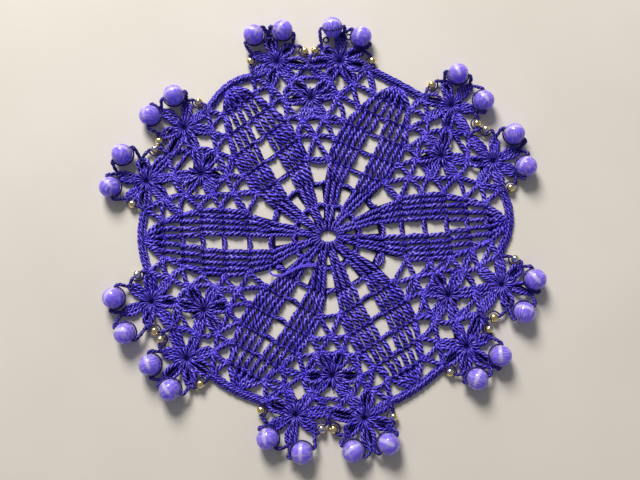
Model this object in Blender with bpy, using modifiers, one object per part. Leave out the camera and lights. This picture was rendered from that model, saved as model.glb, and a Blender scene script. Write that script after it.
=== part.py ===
"""A round crocheted lace doily with a beaded edge, lying flat. Metres, +Z up, resting on z = 0.

The lace is one flat sheet with its gaps cut through: a rosette, six leaves of trebles, six fields of
chain net that each hold a flower, and a rim of twelve flowers and six braids. Its edging thread carries
the beads. Six leaves and six fields repeat, each at its own measured angle and reach, so that the doily
is as uneven as a hand-made one.
"""

import math

import bmesh
import bpy
from mathutils import Vector

# ---- driving sizes ----
THICKNESS = 0.0022          # the lace where it lies
CHAIN_HALF = 0.0009         # half the width of a chain of stitches
LEG_HALF = 0.0010           # half the width of a tall stitch in the net
POST_HALF = 0.00105         # half the width of a treble's post
BAR_HALF = 0.0009           # half the width of the ridge between two rounds
BRAID_HALF = 0.0018         # half the width of the rim braid
EDGE_INSET = 0.0003         # from a leaf's outermost post to the gap beside it
SMALLEST_GAP_AREA = 8.0e-6  # gaps smaller than this stay closed
NEARLY_PARALLEL = 0.05      # sine of the angle below which two strands count as one line

RING_AT = Vector((0.0036, -0.0020))   # the centre ring from the frame's origin
RING_HOLE = (0.0034, 0.0024)          # half the width and half the depth of the ring's hole
RING_STEPS, BRAID_STEPS = 12, 8       # straight pieces round the ring's hole, and along a rim braid

# ---- the rosette: two rounds of trebles in twelve groups, with windows between those of the second ----
ROSETTE_SHIFT = Vector((-0.0007, 0.0))
GROUP_GAP_ANGLES = (9, 38, 67, 101, 131, 158, 185, 213, 243, 273, 303, 336)  # degrees
WINDOW_RADII, WINDOW_WIDTHS = (0.0163, 0.0246), (0.0030, 0.0044)

# ---- a leaf, along its own axis: where each round ends, and its posts either side of the axis ----
# round: (start, end, distance of each post's foot from the axis, distance of each post's head)
LEAF_ROUNDS = {
    3: (0.0253, 0.0352, (0.0037, 0.0060, 0.0083, 0.0104), (0.0042, 0.0073, 0.0104, 0.0135)),
    4: (0.0352, 0.0457, (0.0041, 0.0069, 0.0097, 0.0124, 0.0148), (0.0042, 0.0072, 0.0101, 0.0129, 0.0155)),
    5: (0.0457, 0.0560, (0.0042, 0.0072, 0.0100, 0.0128, 0.0154), (0.0040, 0.0071, 0.0100, 0.0128, 0.0153)),
    6: (0.0560, 0.0658, (0.0027, 0.0062, 0.0097, 0.0136), (0.0026, 0.0059, 0.0092, 0.0122)),
    7: (0.0658, 0.0750, (0.0019, 0.0058, 0.0102), (0.0018, 0.0053, 0.0087)),
    8: (0.0750, 0.0840, (0.0017, 0.0052), (0.0005, 0.0016)),
}
LEAF_MIDDLE, LEAF_TIP = 0.0457, 0.0845
STRETCH_FROM, LEAN_FROM = 0.0150, 0.0400  # where a leaf starts to stretch, and the place it leans about
FOOT_IN = 0.0010         # how far inside a leaf's first round the gap between two leaves starts
BRAID_PAST_TIP = 0.0006  # from a leaf's tip to the centre line of the rim braid

# leaf: (angle in degrees, how far its middle is out, how far its tip is out, sideways lean of its tip)
LEAVES = (
    (5.8, 0.0010, 0.0015, 0.0017),
    (66.2, -0.0007, -0.0020, 0.0023),
    (126.1, 0.0018, 0.0040, 0.0044),
    (184.2, 0.0042, 0.0033, 0.0050),
    (241.5, 0.0002, -0.0015, 0.0037),
    (301.3, -0.0008, -0.0036, 0.0025),
)

# ---- the fields between the leaves, each seen with its axis upwards: (across, along) ----
# field: (angle in degrees, inner flower, left rim flower, right rim flower), and each flower as
# (across, along, clockwise turn in degrees of the petals that hold the net)
FIELDS = (
    (35, (-0.0010, 0.0675, 0), (-0.0185, 0.0865, -14), (0.0155, 0.0865, -4)),
    (96, (-0.0012, 0.0690, 0), (-0.0160, 0.0895, -2), (0.0150, 0.0865, -4)),
    (155, (0.0018, 0.0685, 9), (-0.0125, 0.0905, 0), (0.0190, 0.0860, 2)),
    (213, (0.0025, 0.0680, 0), (-0.0125, 0.0865, 0), (0.0190, 0.0865, 0)),
    (272, (0.0005, 0.0653, 0), (-0.0135, 0.0850, -4), (0.0180, 0.0825, 0)),
    (334, (0.0005, 0.0630, 5), (-0.0150, 0.0835, -7), (0.0185, 0.0805, 0)),
)

# each field's beads from left to right: (across, along)
LARGE_BEADS_AT = (
    ((-0.0290, 0.0976), (-0.0108, 0.0997), (0.0109, 0.1017), (0.0272, 0.0966)),
    ((-0.0259, 0.1031), (-0.0115, 0.1040), (0.0130, 0.1029), (0.0267, 0.0965)),
    ((-0.0230, 0.1039), (-0.0061, 0.1060), (0.0166, 0.1028), (0.0307, 0.0969)),
    ((-0.0208, 0.0998), (-0.0061, 0.1017), (0.0125, 0.1040), (0.0295, 0.1001)),
    ((-0.0238, 0.0966), (-0.0075, 0.0993), (0.0155, 0.0993), (0.0309, 0.0924)),
    ((-0.0234, 0.0961), (-0.0070, 0.0976), (0.0160, 0.0959), (0.0304, 0.0905)),
)
SMALL_BEADS_AT = (
    ((-0.0323, 0.0846), (-0.0038, 0.0910), (0.0010, 0.0926), (0.0310, 0.0850)),
    ((-0.0288, 0.0905), (-0.0017, 0.0930), (0.0034, 0.0929), (0.0308, 0.0845)),
    ((-0.0255, 0.0912), (0.0031, 0.0936), (0.0076, 0.0935), (0.0334, 0.0852)),
    ((-0.0259, 0.0871), (0.0014, 0.0918), (0.0063, 0.0921), (0.0334, 0.0854)),
    ((-0.0267, 0.0848), (0.0008, 0.0894), (0.0062, 0.0892), (0.0337, 0.0797)),
    ((-0.0287, 0.0840), (0.0009, 0.0863), (0.0069, 0.0865), (0.0327, 0.0783)),
)

# ---- flowers: each petal's tip from the flower's centre, on the right of the field; the left mirrors it ----
INNER_PETALS = {"low": (0.0054, -0.0110), "side": (0.0128, 0.0000), "high": (0.0085, 0.0088)}
RIM_PETALS = {
    "middle": (-0.0135, -0.0020),
    "first": (-0.0087, 0.0072),
    "second": (0.0028, 0.0140),
    "third": (0.0121, 0.0047),
    "rim": (0.0128, -0.0062),
    "net_outer": (0.0042, -0.0127),
    "net_inner": (-0.0065, -0.0102),
}
NET_PETALS = ("rim", "net_outer", "net_inner")
PETAL_HALF = 0.0024    # half a petal's width at its shoulder
PETAL_INSET = 0.0002   # from a petal's side to the gap beside it
SHOULDER_AT = 0.70     # a petal's shoulder, as a share of its length
NOTCH_RADIUS = 0.0058  # from a flower's centre to where two petals part
FULL_RADIUS = 0.0098   # and to where a rim flower's two net petals part, which lie close together
CHAIN_BOW = 0.0017     # how far the chain over an inner flower bows outwards
JOINT_SHARE = 0.55     # the net's first joint, from the chain below it to the inner flower's low petals
TIP_HALF = 0.0009      # half the width of a petal's blunt tip
JOINT_HALF = 0.0012    # half the size of the stitch where strands join on the outline

# ---- beads and their thread ----
# kind: (radius, bore radius, centre above the ground, steps along its profile, steps round it)
BEADS = {
    "large": (0.0050, 0.0009, 0.0050, 6, 12),
    "small": (0.0020, 0.00085, 0.0023, 4, 10),
}
THREADED = ("small", "large", "large", "small", "small", "large", "large", "small")  # on one field's thread
THREAD_RADIUS = 0.0005
THREAD_CLEAR = 0.0016        # straight thread beyond each mouth of a bore
HOOK_IN, HOOK_HALF = 0.0010, 0.0006  # how far inside a petal's tip the thread turns, and half its flat there
# a loose end of yarn on top of the lace: (angle in degrees, distance out)
LOOSE_END = ((247, 0.0155), (236, 0.0172), (226, 0.0195), (220, 0.0245), (216, 0.0300), (211, 0.0325))
LOOSE_END_RADIUS, LOOSE_END_SUNK = 0.0006, 0.0001


# ---- placing points ----
def turned(angle, across, along):
    """A point across and along an axis at this angle from +X, from the centre ring."""
    t = math.radians(angle)
    out = Vector((math.cos(t), math.sin(t)))
    right = Vector((math.sin(t), -math.cos(t)))
    return RING_AT + out * along + right * across


def rosette_point(angle, radius, across=0.0):
    return turned(angle, across, radius) + ROSETTE_SHIFT


def leaf_point(leaf, across, along):
    """A point of a leaf's chart, stretched and leant as that leaf is."""
    angle, middle_out, tip_out, lean = LEAVES[leaf]
    if along < LEAF_MIDDLE:
        out = middle_out * (along - STRETCH_FROM) / (LEAF_MIDDLE - STRETCH_FROM)
    else:
        out = middle_out + (tip_out - middle_out) * (along - LEAF_MIDDLE) / (LEAF_TIP - LEAF_MIDDLE)
    sideways = lean * (along - LEAN_FROM) / (LEAF_TIP - LEAN_FROM)
    return turned(angle, across + sideways, along + out)


def leaf_edge(leaf, side, stitch_round):
    """Where a round ends at a leaf's side: side is -1 on the left of the leaf's axis, 1 on the right."""
    _, end, _, heads = LEAF_ROUNDS[stitch_round]
    return leaf_point(leaf, side * (heads[-1] + POST_HALF), end)


def petal_tip(flower, offset, side, turn):
    """A petal's tip in its field, from its flower's centre: mirrored on the left, and turned clockwise."""
    t = math.radians(turn)
    x, y = offset[0] * side, offset[1]
    return flower + Vector((x * math.cos(t) + y * math.sin(t), y * math.cos(t) - x * math.sin(t)))


def field_nodes(field):
    """The named points of one field's net and flowers, by (name, side)."""
    angle, (*inner, inner_turn), *rims = FIELDS[field]
    inner = Vector(inner)
    flat = {("inner", 0): inner}
    middles = []
    for side, (*rim, rim_turn) in zip((-1, 1), rims):
        rim = Vector(rim)
        flat["rim_centre", side] = rim
        for name, offset in INNER_PETALS.items():
            flat[name, side] = petal_tip(inner, offset, side, inner_turn)
        for name, offset in RIM_PETALS.items():
            flat[name, side] = petal_tip(rim, offset, side, rim_turn if name in NET_PETALS else 0)
        flat["high", side] = (flat["high", side] + flat.pop(("net_inner", side))) / 2
        middles.append(flat.pop(("middle", side)))
    flat["middle", 0] = (middles[0] + middles[1]) / 2
    flat["chain", 0] = (flat["high", -1] + flat["high", 1]) / 2 + Vector((0.0, CHAIN_BOW))
    return {key: turned(angle, *point) for key, point in flat.items()}


# ---- gaps ----
def area_of(points):
    following = points[1:] + points[:1]
    return sum(a.x * b.y - a.y * b.x for a, b in zip(points, following)) / 2


def gap_between(sides):
    """The gap inside a ring of strands, from each side's (start, half width).

    Each side moves in by its half width. The gap is empty where the strands leave no room.
    """
    corners = [corner for corner, _ in sides]
    insets = [inset for _, inset in sides]
    if area_of(corners) < 0:
        corners.reverse()
        insets = insets[-2::-1] + insets[-1:]
    lines = []
    for start, end, inset in zip(corners, corners[1:] + corners[:1], insets):
        along = (end - start).normalized()
        lines.append((start + Vector((-along.y, along.x)) * inset, along))
    gap = []
    for (a, u), (b, v) in zip(lines[-1:] + lines[:-1], lines):
        cross = u.x * v.y - u.y * v.x
        if abs(cross) < NEARLY_PARALLEL:
            gap.append(b)
        else:
            gap.append(a + u * (((b.x - a.x) * v.y - (b.y - a.y) * v.x) / cross))
    ends = gap[1:] + gap[:1]
    if any((end - start).dot(along) <= 0 for start, end, (_, along) in zip(gap, ends, lines)):
        return []
    return gap


def shoulder(centre, tip, towards):
    """The widest point of a petal, on the side that faces another point."""
    along = tip - centre
    across = Vector((-along.y, along.x)).normalized()
    if across.dot(towards - centre) < 0:
        across.negate()
    return centre + along * SHOULDER_AT + across * PETAL_HALF


def notch(centre, tip_a, tip_b, radius=NOTCH_RADIUS):
    between = (tip_a - centre).normalized() + (tip_b - centre).normalized()
    return centre + between.normalized() * radius


def petal_sides(centre, tip_a, tip_b):
    """The sides of a gap that run down one petal and up the next one."""
    return [
        (tip_a, PETAL_INSET),
        (shoulder(centre, tip_a, tip_b), 0.0),
        (notch(centre, tip_a, tip_b), 0.0),
        (shoulder(centre, tip_b, tip_a), PETAL_INSET),
    ]


def rosette_gaps():
    (low, high), (narrow, wide) = WINDOW_RADII, WINDOW_WIDTHS
    places = ((low, -narrow / 2), (low, narrow / 2), (high, wide / 2), (high, -wide / 2))
    return [[rosette_point(angle, radius, across) for radius, across in places] for angle in GROUP_GAP_ANGLES]


def leaf_gaps(leaf):
    """The window in each inner round, and the slits between the posts of the outer rounds."""
    gaps = []
    for stitch_round, (start, end, feet, heads) in LEAF_ROUNDS.items():
        if stitch_round == 8:
            continue
        feet = [-x for x in reversed(feet)] + list(feet)
        heads = [-x for x in reversed(heads)] + list(heads)
        middle = len(feet) // 2 - 1
        for i in range(len(feet) - 1):
            if stitch_round < 6 and i != middle:
                continue
            sides = (
                (leaf_point(leaf, feet[i], start), BAR_HALF),
                (leaf_point(leaf, feet[i + 1], start), POST_HALF),
                (leaf_point(leaf, heads[i + 1], end), BAR_HALF),
                (leaf_point(leaf, heads[i], end), POST_HALF),
            )
            gaps.append(gap_between(sides))
    return gaps


def field_gaps(field, nodes):
    """The gaps of one field's net. Its right side borders leaf `field`, its left side the next leaf round."""
    gaps = []
    leaves = {1: field, -1: (field + 1) % len(LEAVES)}
    edge = {(k, s): leaf_edge(leaves[s], -s, k) for k in range(3, 8) for s in (-1, 1)}
    foot = {
        s: leaf_point(leaves[s], -s * (LEAF_ROUNDS[3][2][-1] + POST_HALF), LEAF_ROUNDS[3][0] - FOOT_IN)
        for s in (-1, 1)
    }
    bar = (edge[3, -1] + edge[3, 1]) / 2
    joint = bar.lerp((nodes["low", -1] + nodes["low", 1]) / 2, JOINT_SHARE)
    left, right = edge[3, -1], edge[3, 1]
    gaps.append([(foot[-1], CHAIN_HALF), (foot[1], EDGE_INSET), (right, CHAIN_HALF), (left, EDGE_INSET)])
    gaps.append([(left, CHAIN_HALF), (right, LEG_HALF), (joint, LEG_HALF)])
    gaps.append([(joint, LEG_HALF), (nodes["low", 1], CHAIN_HALF), (nodes["low", -1], LEG_HALF)])
    inner, middle, chain = nodes["inner", 0], nodes["middle", 0], (nodes["chain", 0], CHAIN_HALF)
    left, right = nodes["high", -1], nodes["high", 1]
    gaps.append([(right, LEG_HALF), (middle, LEG_HALF), (left, CHAIN_HALF), chain])
    gaps.append([*petal_sides(inner, left, right), (right, CHAIN_HALF), chain])
    for s in (-1, 1):
        low, side, high = nodes["low", s], nodes["side", s], nodes["high", s]
        outer, rim, rim_centre = nodes["net_outer", s], nodes["rim", s], nodes["rim_centre", s]
        e3, e4, e5, e6, e7 = (edge[k, s] for k in range(3, 8))
        gaps.append([(e3, EDGE_INSET), (e4, CHAIN_HALF), (joint, LEG_HALF)])
        gaps.append([(joint, CHAIN_HALF), (e4, LEG_HALF), (low, LEG_HALF)])
        gaps.append([(e4, EDGE_INSET), (e5, CHAIN_HALF), (low, LEG_HALF)])
        gaps.append([(low, CHAIN_HALF), (e5, LEG_HALF), (side, LEG_HALF)])
        gaps.append([(e5, EDGE_INSET), (e6, CHAIN_HALF), (side, LEG_HALF)])
        gaps.append([(side, CHAIN_HALF), (e6, LEG_HALF), (outer, LEG_HALF)])
        gaps.append([(e6, EDGE_INSET), (e7, CHAIN_HALF), (outer, LEG_HALF)])
        gaps.append([(outer, CHAIN_HALF), (e7, LEG_HALF), (rim, LEG_HALF)])
        gaps.append([*petal_sides(inner, low, side), (side, LEG_HALF)])
        gaps.append([*petal_sides(inner, side, high), (high, LEG_HALF)])
        full = notch(rim_centre, outer, high, FULL_RADIUS)
        gaps.append([(outer, JOINT_HALF), (full, JOINT_HALF), (high, LEG_HALF), (side, LEG_HALF)])
        gaps.append([*petal_sides(rim_centre, rim, outer), (outer, LEG_HALF)])
        gaps.append([*petal_sides(rim_centre, high, middle), (middle, LEG_HALF)])
    return [gap_between(sides) for sides in gaps]


def braid_line(leaf, rim_left, rim_right):
    """The rim braid's centre line over a leaf's tip, as an arc through its two ends and its middle."""
    tip = leaf_point(leaf, 0.0, LEAF_TIP + BRAID_PAST_TIP)
    bow = tip - (rim_left + rim_right) / 2
    line = []
    for i in range(BRAID_STEPS + 1):
        t = i / BRAID_STEPS
        line.append(rim_left.lerp(rim_right, t) + bow * 4 * t * (1 - t))
    return line


def tip_gaps(leaf, braid):
    """The two gaps beside a leaf's tip, under the rim braid."""
    start, _, feet, _ = LEAF_ROUNDS[8]
    middle = len(braid) // 2
    gaps = []
    for side, ends in ((-1, braid[: middle + 1 : 2]), (1, braid[: middle - 1 : -2])):
        sides = [
            (leaf_point(leaf, side * (feet[-1] + POST_HALF), start), EDGE_INSET + BAR_HALF),
            (leaf_edge(leaf, side, 7), LEG_HALF),
            *((point, BRAID_HALF) for point in ends[:-1]),
            (leaf_point(leaf, side * (LEAF_ROUNDS[8][3][-1] + POST_HALF), LEAF_TIP), EDGE_INSET),
        ]
        gaps.append(gap_between(sides))
    return gaps


# ---- the outline ----
def offset_line(line, distance):
    """A line moved to its left."""
    moved = []
    for i, point in enumerate(line):
        along = (line[min(i + 1, len(line) - 1)] - line[max(i - 1, 0)]).normalized()
        moved.append(point + Vector((-along.y, along.x)) * distance)
    return moved


def petal_outline(centre, tip, before, after):
    """The outer edge of one petal, from the notch before it round its tip: shoulder, tip, tip, shoulder."""
    along = (tip - centre).normalized()
    across = Vector((-along.y, along.x))
    if across.dot(before - centre) < 0:
        across.negate()
    return [
        shoulder(centre, tip, before),
        tip + across * TIP_HALF,
        tip - across * TIP_HALF,
        shoulder(centre, tip, after),
    ]


def flower_outline(nodes, side):
    """A rim flower's outer edge, from its braid end to the middle joint."""
    centre = nodes["rim_centre", side]
    tips = [nodes[name, side] for name in ("rim", "third", "second", "first")] + [nodes["middle", 0]]
    outline = [shoulder(centre, tips[0], tips[1])]
    for before, tip, after in zip(tips, tips[1:], tips[2:]):
        outline.append(notch(centre, before, tip))
        outline.extend(petal_outline(centre, tip, before, after))
    outline.append(notch(centre, tips[-2], tips[-1]))
    outline.append(shoulder(centre, tips[-1], tips[-2]))
    return outline


def doily_outline(all_nodes, braids):
    """The whole outer edge, clockwise: each field's two rim flowers, then the braid on its right."""
    outline = []
    for field in reversed(range(len(FIELDS))):
        nodes = all_nodes[field]
        outward = (nodes["middle", 0] - RING_AT).normalized()
        outline.extend(flower_outline(nodes, -1))
        outline.append(nodes["middle", 0] + outward * JOINT_HALF)
        outline.extend(reversed(flower_outline(nodes, 1)))
        outline.extend(offset_line(braids[field], BRAID_HALF))
    return outline


def ring_hole():
    across, deep = RING_HOLE
    turns = [2 * math.pi * i / RING_STEPS for i in range(RING_STEPS)]
    return [RING_AT + Vector((math.cos(t) * across, math.sin(t) * deep)) for t in turns]


# ---- building ----
def new_material(name, colour, roughness, metallic=0.0):
    material = bpy.data.materials.new(name)
    material.use_nodes = True
    shader = material.node_tree.nodes["Principled BSDF"]
    shader.inputs["Base Color"].default_value = (*colour, 1.0)
    shader.inputs["Roughness"].default_value = roughness
    shader.inputs["Metallic"].default_value = metallic
    return material


def add_spline(curve, points, closed):
    spline = curve.splines.new("POLY")
    spline.points.add(len(points) - 1)
    for slot, point in zip(spline.points, points):
        slot.co = (*point, *((0.0,) * (3 - len(point))), 1.0)
    spline.use_cyclic_u = closed


def mesh_from_curve(name, curve, height=0.0):
    """A curve's solid as a mesh object with its caps welded."""
    guide = bpy.data.objects.new(name, curve)
    guide.location.z = height
    bpy.context.scene.collection.objects.link(guide)
    bpy.context.view_layer.update()
    evaluated = guide.evaluated_get(bpy.context.evaluated_depsgraph_get())
    mesh = bpy.data.meshes.new_from_object(evaluated)
    mesh.transform(guide.matrix_world)
    bpy.data.objects.remove(guide)
    bm = bmesh.new()
    bm.from_mesh(mesh)
    bmesh.ops.remove_doubles(bm, verts=bm.verts, dist=0.00001)
    bmesh.ops.recalc_face_normals(bm, faces=bm.faces)
    bm.to_mesh(mesh)
    bm.free()
    return bpy.data.objects.new(name, mesh)


def sheet(name, outline, gaps):
    """The flat lace: one outline with its gaps, as thick as the lace."""
    curve = bpy.data.curves.new(name, "CURVE")
    curve.dimensions = "2D"
    curve.fill_mode = "BOTH"
    curve.extrude = THICKNESS / 2
    add_spline(curve, outline, closed=True)
    for gap in gaps:
        add_spline(curve, gap, closed=True)
    return mesh_from_curve(name, curve, THICKNESS / 2)


def thread(name, lines, radius):
    """Lengths of round thread along lists of points."""
    curve = bpy.data.curves.new(name, "CURVE")
    curve.dimensions = "3D"
    curve.bevel_depth = radius
    curve.bevel_resolution = 1
    curve.use_fill_caps = True
    for line in lines:
        add_spline(curve, line, closed=False)
    return mesh_from_curve(name, curve)


def bead_profile(kind):
    """A round bead's profile round its bore, which runs along Z, for a Screw."""
    radius, bore, _, steps, _ = BEADS[kind]
    start = math.asin(bore / radius)
    bm = bmesh.new()
    points = []
    for i in range(steps + 1):
        t = start + (math.pi - 2 * start) * i / steps
        points.append(bm.verts.new((math.sin(t) * radius, 0.0, math.cos(t) * radius)))
    for a, b in zip(points, points[1:] + points[:1]):
        bm.edges.new((a, b))
    mesh = bpy.data.meshes.new(f"{kind} bead profile")
    bm.to_mesh(mesh)
    bm.free()
    return mesh


def place_bead(name, kind, profile, centre, direction, collection):
    bead = bpy.data.objects.new(name, profile)
    bead.location = centre
    bead.rotation_mode = "QUATERNION"
    bead.rotation_quaternion = direction.to_track_quat("Z", "Y")
    screw = bead.modifiers.new("Turned", "SCREW")
    screw.steps = BEADS[kind][4]
    screw.render_steps = screw.steps
    screw.use_smooth_shade = True
    screw.use_merge_vertices = True
    screw.merge_threshold = 0.00001
    collection.objects.link(bead)


def edging(field, nodes):
    """One field's edging thread from braid end to braid end, and its beads: (kind, centre, direction)."""
    angle = FIELDS[field][0]
    places = {"large": iter(LARGE_BEADS_AT[field]), "small": iter(SMALL_BEADS_AT[field])}
    tips = [(nodes[name, -1], nodes["rim_centre", -1]) for name in ("rim", "third", "second", "first")]
    tips.append((nodes["middle", 0], RING_AT))
    tips += [(nodes[name, 1], nodes["rim_centre", 1]) for name in ("first", "second", "third", "rim")]
    inside = [(tip + (centre - tip).normalized() * HOOK_IN).to_3d() for tip, centre in tips]
    hooks = [point + Vector((0, 0, THICKNESS / 2)) for point in inside]
    line, beads = [hooks[0]], []
    for i, (start, end) in enumerate(zip(hooks, hooks[1:])):
        kind = THREADED[i]
        radius, _, height, *_ = BEADS[kind]
        place = turned(angle, *next(places[kind]))
        direction = (end - start).normalized()
        if kind == "large":
            out = place - tips[i][1]
            round_flower = Vector((out.y, -out.x, 0.0)).normalized()
            direction = (direction + round_flower).normalized()
        centre = place.to_3d() + Vector((0, 0, height))
        beads.append((kind, centre, direction))
        line.append(centre - direction * (radius + THREAD_CLEAR))
        line.append(centre + direction * (radius + THREAD_CLEAR))
        if i < len(THREADED) - 1:
            turn = (direction + (hooks[i + 2] - end).normalized()).normalized() * HOOK_HALF
            line += [end - turn, end + turn]
    line.append(hooks[-1])
    return line, beads


def unite(base, other, collection):
    other.hide_render = True
    other.display_type = "WIRE"
    collection.objects.link(other)
    join = base.modifiers.new("Thread", "BOOLEAN")
    join.operation = "UNION"
    join.use_self = True
    join.object = other


def main():
    for leftover in list(bpy.data.objects):
        bpy.data.objects.remove(leftover)
    doily = bpy.data.collections.new("Lace doily")
    helpers = bpy.data.collections.new("Joined into the lace")
    for collection in (doily, helpers):
        bpy.context.scene.collection.children.link(collection)

    cotton = new_material("Violet-blue cotton thread", (0.060, 0.028, 0.400), 0.85)
    satin = new_material("Satin violet glass", (0.240, 0.180, 0.780), 0.20)
    metal = new_material("Iridescent metal", (0.750, 0.700, 0.480), 0.20, metallic=1.0)

    count = len(LEAVES)
    all_nodes = [field_nodes(field) for field in range(count)]
    # The braid over leaf i starts at the right of field i and ends at the left of the field before it.
    braids = [braid_line(i, all_nodes[i]["rim", 1], all_nodes[i - 1]["rim", -1]) for i in range(count)]
    gaps = rosette_gaps()
    for i in range(count):
        gaps.extend(leaf_gaps(i))
        gaps.extend(field_gaps(i, all_nodes[i]))
        gaps.extend(tip_gaps(i, braids[i]))
    gaps = [gap for gap in gaps if gap and abs(area_of(gap)) > SMALLEST_GAP_AREA]
    print(len(gaps) + 1, "gaps cut through")
    lace = sheet("lace", doily_outline(all_nodes, braids), [ring_hole(), *gaps])
    lace.data.materials.append(cotton)
    doily.objects.link(lace)

    profiles = {kind: bead_profile(kind) for kind in BEADS}
    profiles["large"].materials.append(satin)
    profiles["small"].materials.append(metal)
    numbers = dict.fromkeys(BEADS, 0)
    lines = []
    for i in range(count):
        line, beads = edging(i, all_nodes[i])
        lines.append(line)
        for kind, centre, direction in beads:
            numbers[kind] += 1
            place_bead(f"{kind}_bead_{numbers[kind]:02}", kind, profiles[kind], centre, direction, doily)

    unite(lace, thread("edging thread", lines, THREAD_RADIUS), helpers)
    above = Vector((0, 0, THICKNESS + LOOSE_END_RADIUS - LOOSE_END_SUNK))
    end = [turned(angle, 0.0, radius).to_3d() + above for angle, radius in LOOSE_END]
    unite(lace, thread("loose end", [end], LOOSE_END_RADIUS), helpers)


main()
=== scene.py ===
# %% [markdown]
# # A beaded crocheted doily
# The real thing is a round mat of mercerised cotton, worked from a ring in its middle outwards: a rosette,
# six leaves of tall stitches, six fields of chain net with flowers in them, and a rim with glass and metal
# beads. It lies flat, so all of its depth is in the thread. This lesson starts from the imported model,
# which holds the real sizes, and lays every stitch as a length of twisted thread where the model has its
# flat lace.

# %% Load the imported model
import math
import random

import bmesh
import bpy
from mathutils import Matrix, Vector


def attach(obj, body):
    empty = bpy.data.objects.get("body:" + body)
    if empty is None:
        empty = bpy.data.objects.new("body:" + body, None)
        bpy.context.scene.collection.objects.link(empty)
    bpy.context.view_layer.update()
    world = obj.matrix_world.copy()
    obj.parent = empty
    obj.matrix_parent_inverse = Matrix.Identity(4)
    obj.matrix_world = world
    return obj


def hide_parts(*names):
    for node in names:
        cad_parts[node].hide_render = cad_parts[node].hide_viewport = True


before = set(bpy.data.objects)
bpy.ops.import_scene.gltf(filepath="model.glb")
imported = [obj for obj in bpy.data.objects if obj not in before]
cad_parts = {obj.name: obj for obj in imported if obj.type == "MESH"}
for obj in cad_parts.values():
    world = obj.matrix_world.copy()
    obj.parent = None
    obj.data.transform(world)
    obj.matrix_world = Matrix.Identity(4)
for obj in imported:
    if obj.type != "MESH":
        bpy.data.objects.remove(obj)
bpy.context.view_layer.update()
SEED = 11  # all chance comes from one seed, so the doily comes out the same each time
chance = random.Random(SEED)

# %% [markdown]
# ## Colours and nodes
# A colour is picked on screen as an sRGB hex value, but a shader works in linear light, so one function
# turns one into the other. A second one adds a node with its settings and links, which keeps a material
# readable from top to bottom. The others save words on what many finishes share: a noise, a soft fade and
# a colour ramp.

# %% Helpers for materials
def linear(hex_colour):
    """An sRGB hex colour as a linear one with alpha."""
    parts = [int(hex_colour[i:i + 2], 16) / 255 for i in (1, 3, 5)]
    return (*(x / 12.92 if x <= 0.04045 else ((x + 0.055) / 1.055) ** 2.4 for x in parts), 1.0)


def add_node(material, kind, settings=None, **links):
    """Adds a node: settings by property, or by an input's name or number; links as input=other socket."""
    node = material.node_tree.nodes.new(kind)
    for name, value in (settings or {}).items():
        if isinstance(name, str) and hasattr(node, name):
            setattr(node, name, value)
        else:
            node.inputs[name].default_value = value
    for name, source in links.items():
        socket = node.inputs[int(name[1:])] if name[1:].isdigit() else node.inputs[name.replace("_", " ")]
        material.node_tree.links.new(source, socket)
    return node


def add_noise(material, patch, detail, place):
    """A noise with patches of about this size, laid out over this socket."""
    settings = {"Scale": 1 / patch, "Detail": detail}
    return add_node(material, "ShaderNodeTexNoise", settings, Vector=place)


def add_fade(material, start, end, value):
    """Turns a value smoothly into 0 at the start and 1 at the end."""
    settings = {"interpolation_type": "SMOOTHSTEP", "From Min": start, "From Max": end}
    return add_node(material, "ShaderNodeMapRange", settings, Value=value)


def new_material(name):
    """A new material and its shader."""
    material = bpy.data.materials.new(name)
    material.use_nodes = True
    return material, material.node_tree.nodes["Principled BSDF"]


def set_stops(ramp, *stops):
    """Colour stops on a Color Ramp, from (place, sRGB hex colour)."""
    elements = ramp.color_ramp.elements
    while len(elements) < len(stops):
        elements.new(0.5)
    for element, (place, colour) in zip(elements, stops):
        element.position = place
        element.color = linear(colour)


# %% [markdown]
# ## Mercerised cotton, plied
# Mercerised cotton is cotton that was swollen in lye under tension, which makes its fibres round and
# glossy. The eye gets a deep colour with soft coloured glints along each ply, and near black in the
# hollows; that near black is painted shade, a dark colour laid in each groove by a wave round the thread.
# The glint is light that went through the fibre, so it has the thread's own colour: the specular tint does
# that. Fibres are about 0.02 mm across, far too fine to show, so the bump is drawn at 0.25 mm, as the ridges
# of small bundles. Each length of thread is one island of its mesh, which gives every stitch a shade of its
# own.

# %% Cotton thread
FIBRE_BUNDLE = 0.00025  # metres
DYE_PATCH = 0.009       # how far apart the dye is a little deeper or paler
PLIES = 3               # the lengths of thread that show round a stitch
STITCH_SHARE = 0.45     # how much of the shade is the stitch's own, the rest being the dye's
DEEP_AT, PALE_AT = 0.20, 0.80
# A wave round the thread is 1 in a groove and -1 on a crest: the painted groove shade starts at the first
# value, and is full from the second on.
SHADE_FROM, SHADE_FULL = -0.95, 0.35
FIBRE_RELIEF = (FIBRE_BUNDLE, 0.0001)  # width and depth in metres
RELIEF_STRENGTH, SHEEN = 0.35, 0.10
GLINT_TINT, SHEEN_TINT = "#A89EFF", "#6A58FF"


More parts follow.
